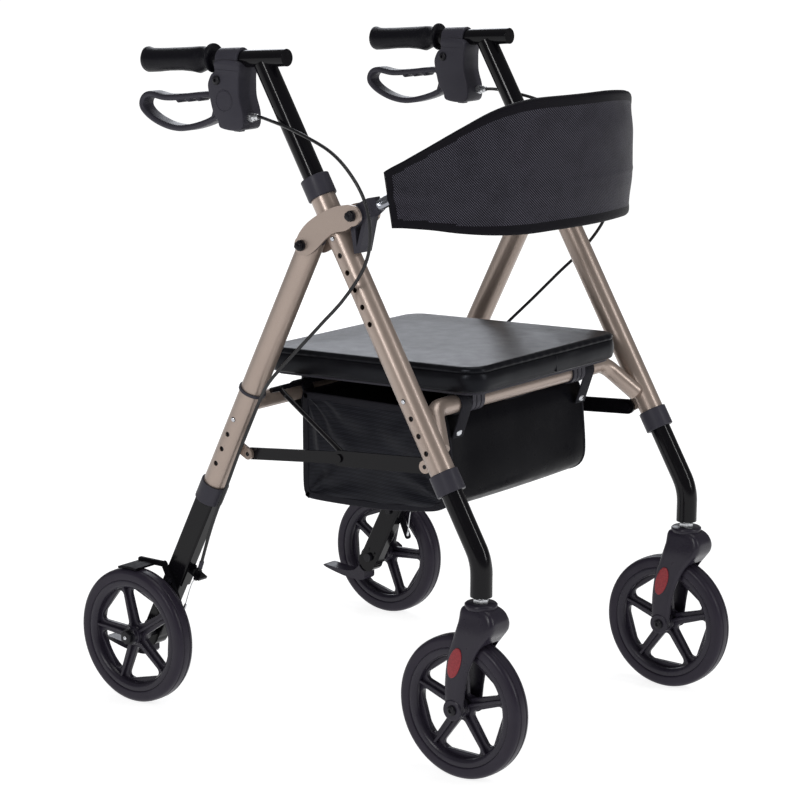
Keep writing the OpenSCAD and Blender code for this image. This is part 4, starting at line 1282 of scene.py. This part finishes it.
CABLE = [Vector(p) for p in mm((-70.6, 262, 869), (-50, 270, 868), (10, 281, 857), (74, 283, 834),
    (114, 284, 802), (137, 284, 765), (143, 284, 721), (131, 284, 682),
    (97, 283, 638), (55, 281, 598), (9, 280, 554), (-42, 276, 505))]
CABLE += [by_leg(0.168, 0.024, 0.264), by_leg(0.09, 0.023, 0.262), by_leg(0.014, 0.025, 0.261),
    by_leg(-0.016, 0.025, 0.261), by_leg(-0.06, 0.026, 0.258), by_leg(-0.1175, 0.031, LEG_Y)]
PER_SPAN = 8
SECTIONS = ((0, 8, "handle", "front_frame", (0, 0, 0.862), (0, 0, 0.69)),
    (8, 13, "front_frame", "rear_frame", (0.097, 0, 0.638), (-0.042, 0, 0.505)),
    (13, 17, "rear_frame", "rear_leg_lower", tuple(by_leg(0.06, 0, 0)), tuple(by_leg(-0.06, 0, 0))))


def make_cables():
    line = smooth(CABLE, PER_SPAN)
    for side, sign in SIDES:
        for first, last, a, b, start, end in SECTIONS:
            part = line[first * PER_SPAN:last * PER_SPAN + 1]
            tube = mirrored(sweep(part, disc(CABLE_R, 14)), sign)
            piece = put(f"cable_{first}_{side}", tube, SHEATH, None)
            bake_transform(piece)
            if first == 0:
                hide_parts(f"brake_cable_{side}")
        anchor = joint_at(f"brake_shoe_turn_{side}")
        low_end = Vector((anchor.x + 0.023, 0.2635, anchor.z - 0.039))
        wire = [by_leg(-0.139, 0.031, LEG_Y), by_leg(-0.15, 0.03, LEG_Y + 0.003), low_end]
        parts = [sweep(smooth(wire, 6), disc(0.0008, 10)),
            lathe(mm((-1, 0), (-1, 2.2), (6, 2.2), (7, 1.5), (7, 0)), low_end, wire[0] - low_end, 20)]
        bare = mirrored(merge("wire", *parts), sign)
        put(f"cable_wire_{side}", bare, ZINC, f"rear_leg_lower_{side}")
        ferrule = lathe(mm((0, 0), (0, 3.3), (10, 3.5), (11, 3), (12, 2.6)),
            by_leg(-0.1185, 0.031, LEG_Y), by_leg(0.01, 0.03, LEG_Y) - by_leg(0, 0.031, LEG_Y), 24)
        put(f"cable_ferrule_{side}", mirrored(ferrule, sign), PLASTIC, f"rear_leg_lower_{side}",
            slot="cable_cover")


# ---------- the lift rod under the seat ----------
MID_BOLT = Vector((0.057, 0, 0.406))
ROD_BAR = Vector((-0.065, 0, 0.486))
ROD_Y = 0.229
ROD_R = 0.0036


def make_lift_rod():
    """A bent round rod: two arms up from the links' middle bolts and a bar across under the seat."""
    corners = []
    for sign in (-1, 1):
        low, high = MID_BOLT + Vector((0, sign * ROD_Y, 0)), ROD_BAR + Vector((0, sign * ROD_Y, 0))
        turn_in = [high.lerp(low, 0.1), high.lerp(low, 0.02) - Vector((0, sign * 0.003, 0)),
            high - Vector((0, sign * 0.016, 0))]
        arm = [low.lerp(high, k / 8) for k in range(8)] + turn_in
        corners += arm if sign < 0 else arm[::-1]
    rod = sweep(smooth(corners, 4), disc(ROD_R, 16))
    eye = two_sided(mm((2.2, 0), (2.2, 7.8), (1.5, 8.4)))
    eyes = [lathe(eye, MID_BOLT + Vector((0, sign * ROD_Y, 0)), steps=32) for sign in (-1, 1)]
    put("lift_rod_shown", merge("rod", rod, *eyes), GLOSS, "lift_rod", "lift_rod")


# ---------- the CAD nodes that are shown as they are ----------
def soften(piece, width):
    """Rounds the sharp edges of a machined or stamped piece."""
    weld = piece.modifiers.new("weld", "WELD")
    weld.merge_threshold = 0.00001
    bevel = piece.modifiers.new("bevel", "BEVEL")
    bevel.width = width
    bevel.segments = 2
    bevel.limit_method = "ANGLE"
    bevel.angle_limit = math.radians(35)
    bevel.use_clamp_overlap = True
    normal = piece.modifiers.new("normal", "WEIGHTED_NORMAL")
    normal.keep_sharp = True


def paint(node, shader, width):
    piece = NODES[node]
    piece.data.materials.clear()
    piece.data.materials.append(shader.material)
    piece.data.polygons.foreach_set("material_index", [0] * len(piece.data.polygons))
    piece.data.shade_smooth()
    soften(piece, width)


def paint_solids(node, body, choose):
    """Shows each solid of a node as its own piece. choose(low, high) gives its material."""
    for index, mesh in enumerate(solids(node)):
        low, high, _ = box_of(mesh)
        piece = put(f"{node}_{index}", mesh, choose(low, high), body, sharp=35)
        soften(piece, SOLID_SOFT)
        if index == 0:
            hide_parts(node)


SOFT = 0.0006
SOLID_SOFT = 0.0005
HUB_FACE = 0.0176
PAINTED = (("front_crossbar", PAINT, SOFT), ("rear_crossbar", PAINT, SOFT), ("front_links", GLOSS, 0.0009),
    ("rear_links", GLOSS, 0.0009), ("hinge_bolts", BOLT, 0.0008), ("front_leg_collars", PLASTIC, 0.0012),
    ("rear_leg_fittings", PLASTIC, 0.0012), ("seat_board", PLASTIC, SOFT), ("seat_fittings", PLASTIC, SOFT),
    ("backrest_tube", TUBE_STEEL, SOFT), ("backrest_brackets", PLASTIC, 0.0016))
PAINTED_PAIRS = (("front_leg_tube", PAINT, 0.0007), ("rear_leg_tube", PAINT, 0.0007),
    ("front_leg_lower", GLOSS, SOFT), ("rear_leg_lower", GLOSS, 0.001),
    ("brake_shoe", SOOT, 0.0008), ("step_pedal", WHEEL_PLASTIC, 0.0012),
    ("handle_button", CHROME, 0.0004), ("front_leg_button", CHROME, 0.0004),
    ("rear_leg_button", CHROME, 0.0004))


def paint_frame():
    for node, shader, width in PAINTED:
        paint(node, shader, width)
    for index, mesh in enumerate(solids("hinge_bolts")):
        low, high, _ = box_of(mesh)
        out = 1 if high.y > 0 else -1
        end = Vector(((low.x + high.x) / 2, (high.y if out > 0 else low.y) - out * 0.002,
            (low.z + high.z) / 2))
        put(f"hinge_nut_{index}", nut_mesh(end, (0, out, 0)), BOLT, "front_frame", sharp=30)
    for side, sign in SIDES:
        for node, shader, width in PAINTED_PAIRS:
            paint(f"{node}_{side}", shader, width)
        paint_solids(f"handle_tube_{side}", f"handle_{side}",
            lambda low, high: GLOSS if high.x - low.x > 0.05 else PLASTIC)
        axle = joint_at(f"front_wheel_spin_{side}")
        paint_solids(f"caster_hardware_{side}", f"caster_{side}",
            lambda low, high: BOLT if low.z < axle.z + 0.05 else ZINC)
        face = joint_at(f"rear_wheel_spin_{side}") + Vector((0, sign * HUB_FACE, 0))
        outward = Vector((0, sign, 0))
        nut = turned(face, outward,
            (40, mm((0, 6), (0, 11.8), (0.4, 12.2), (1.4, 12.2), (1.8, 11.8), (1.8, 6))),
            (6, mm((1.8, 6), (1.8, 9.8), (6.8, 10.2), (7.6, 9.6), (8, 6), (8, 0))))
        put(f"hub_nut_{side}", nut, BOLT, f"rear_leg_lower_{side}", sharp=30)
        put(f"hub_screw_{side}", screw_mesh(face + outward * 0.0078, outward, 0.003, 0.0018, 0.0014), ZINC,
            f"rear_leg_lower_{side}")
        paint_solids(f"rear_hardware_{side}", f"rear_leg_lower_{side}",
            lambda low, high: GLOSS if high.x - low.x > 0.03 else BOLT)


make_camera()
make_studio()
make_wheels()
make_casters()
make_handles()
make_cushion()
make_backrest()
make_bag()
make_straps()
make_cables()
make_lift_rod()
paint_frame()
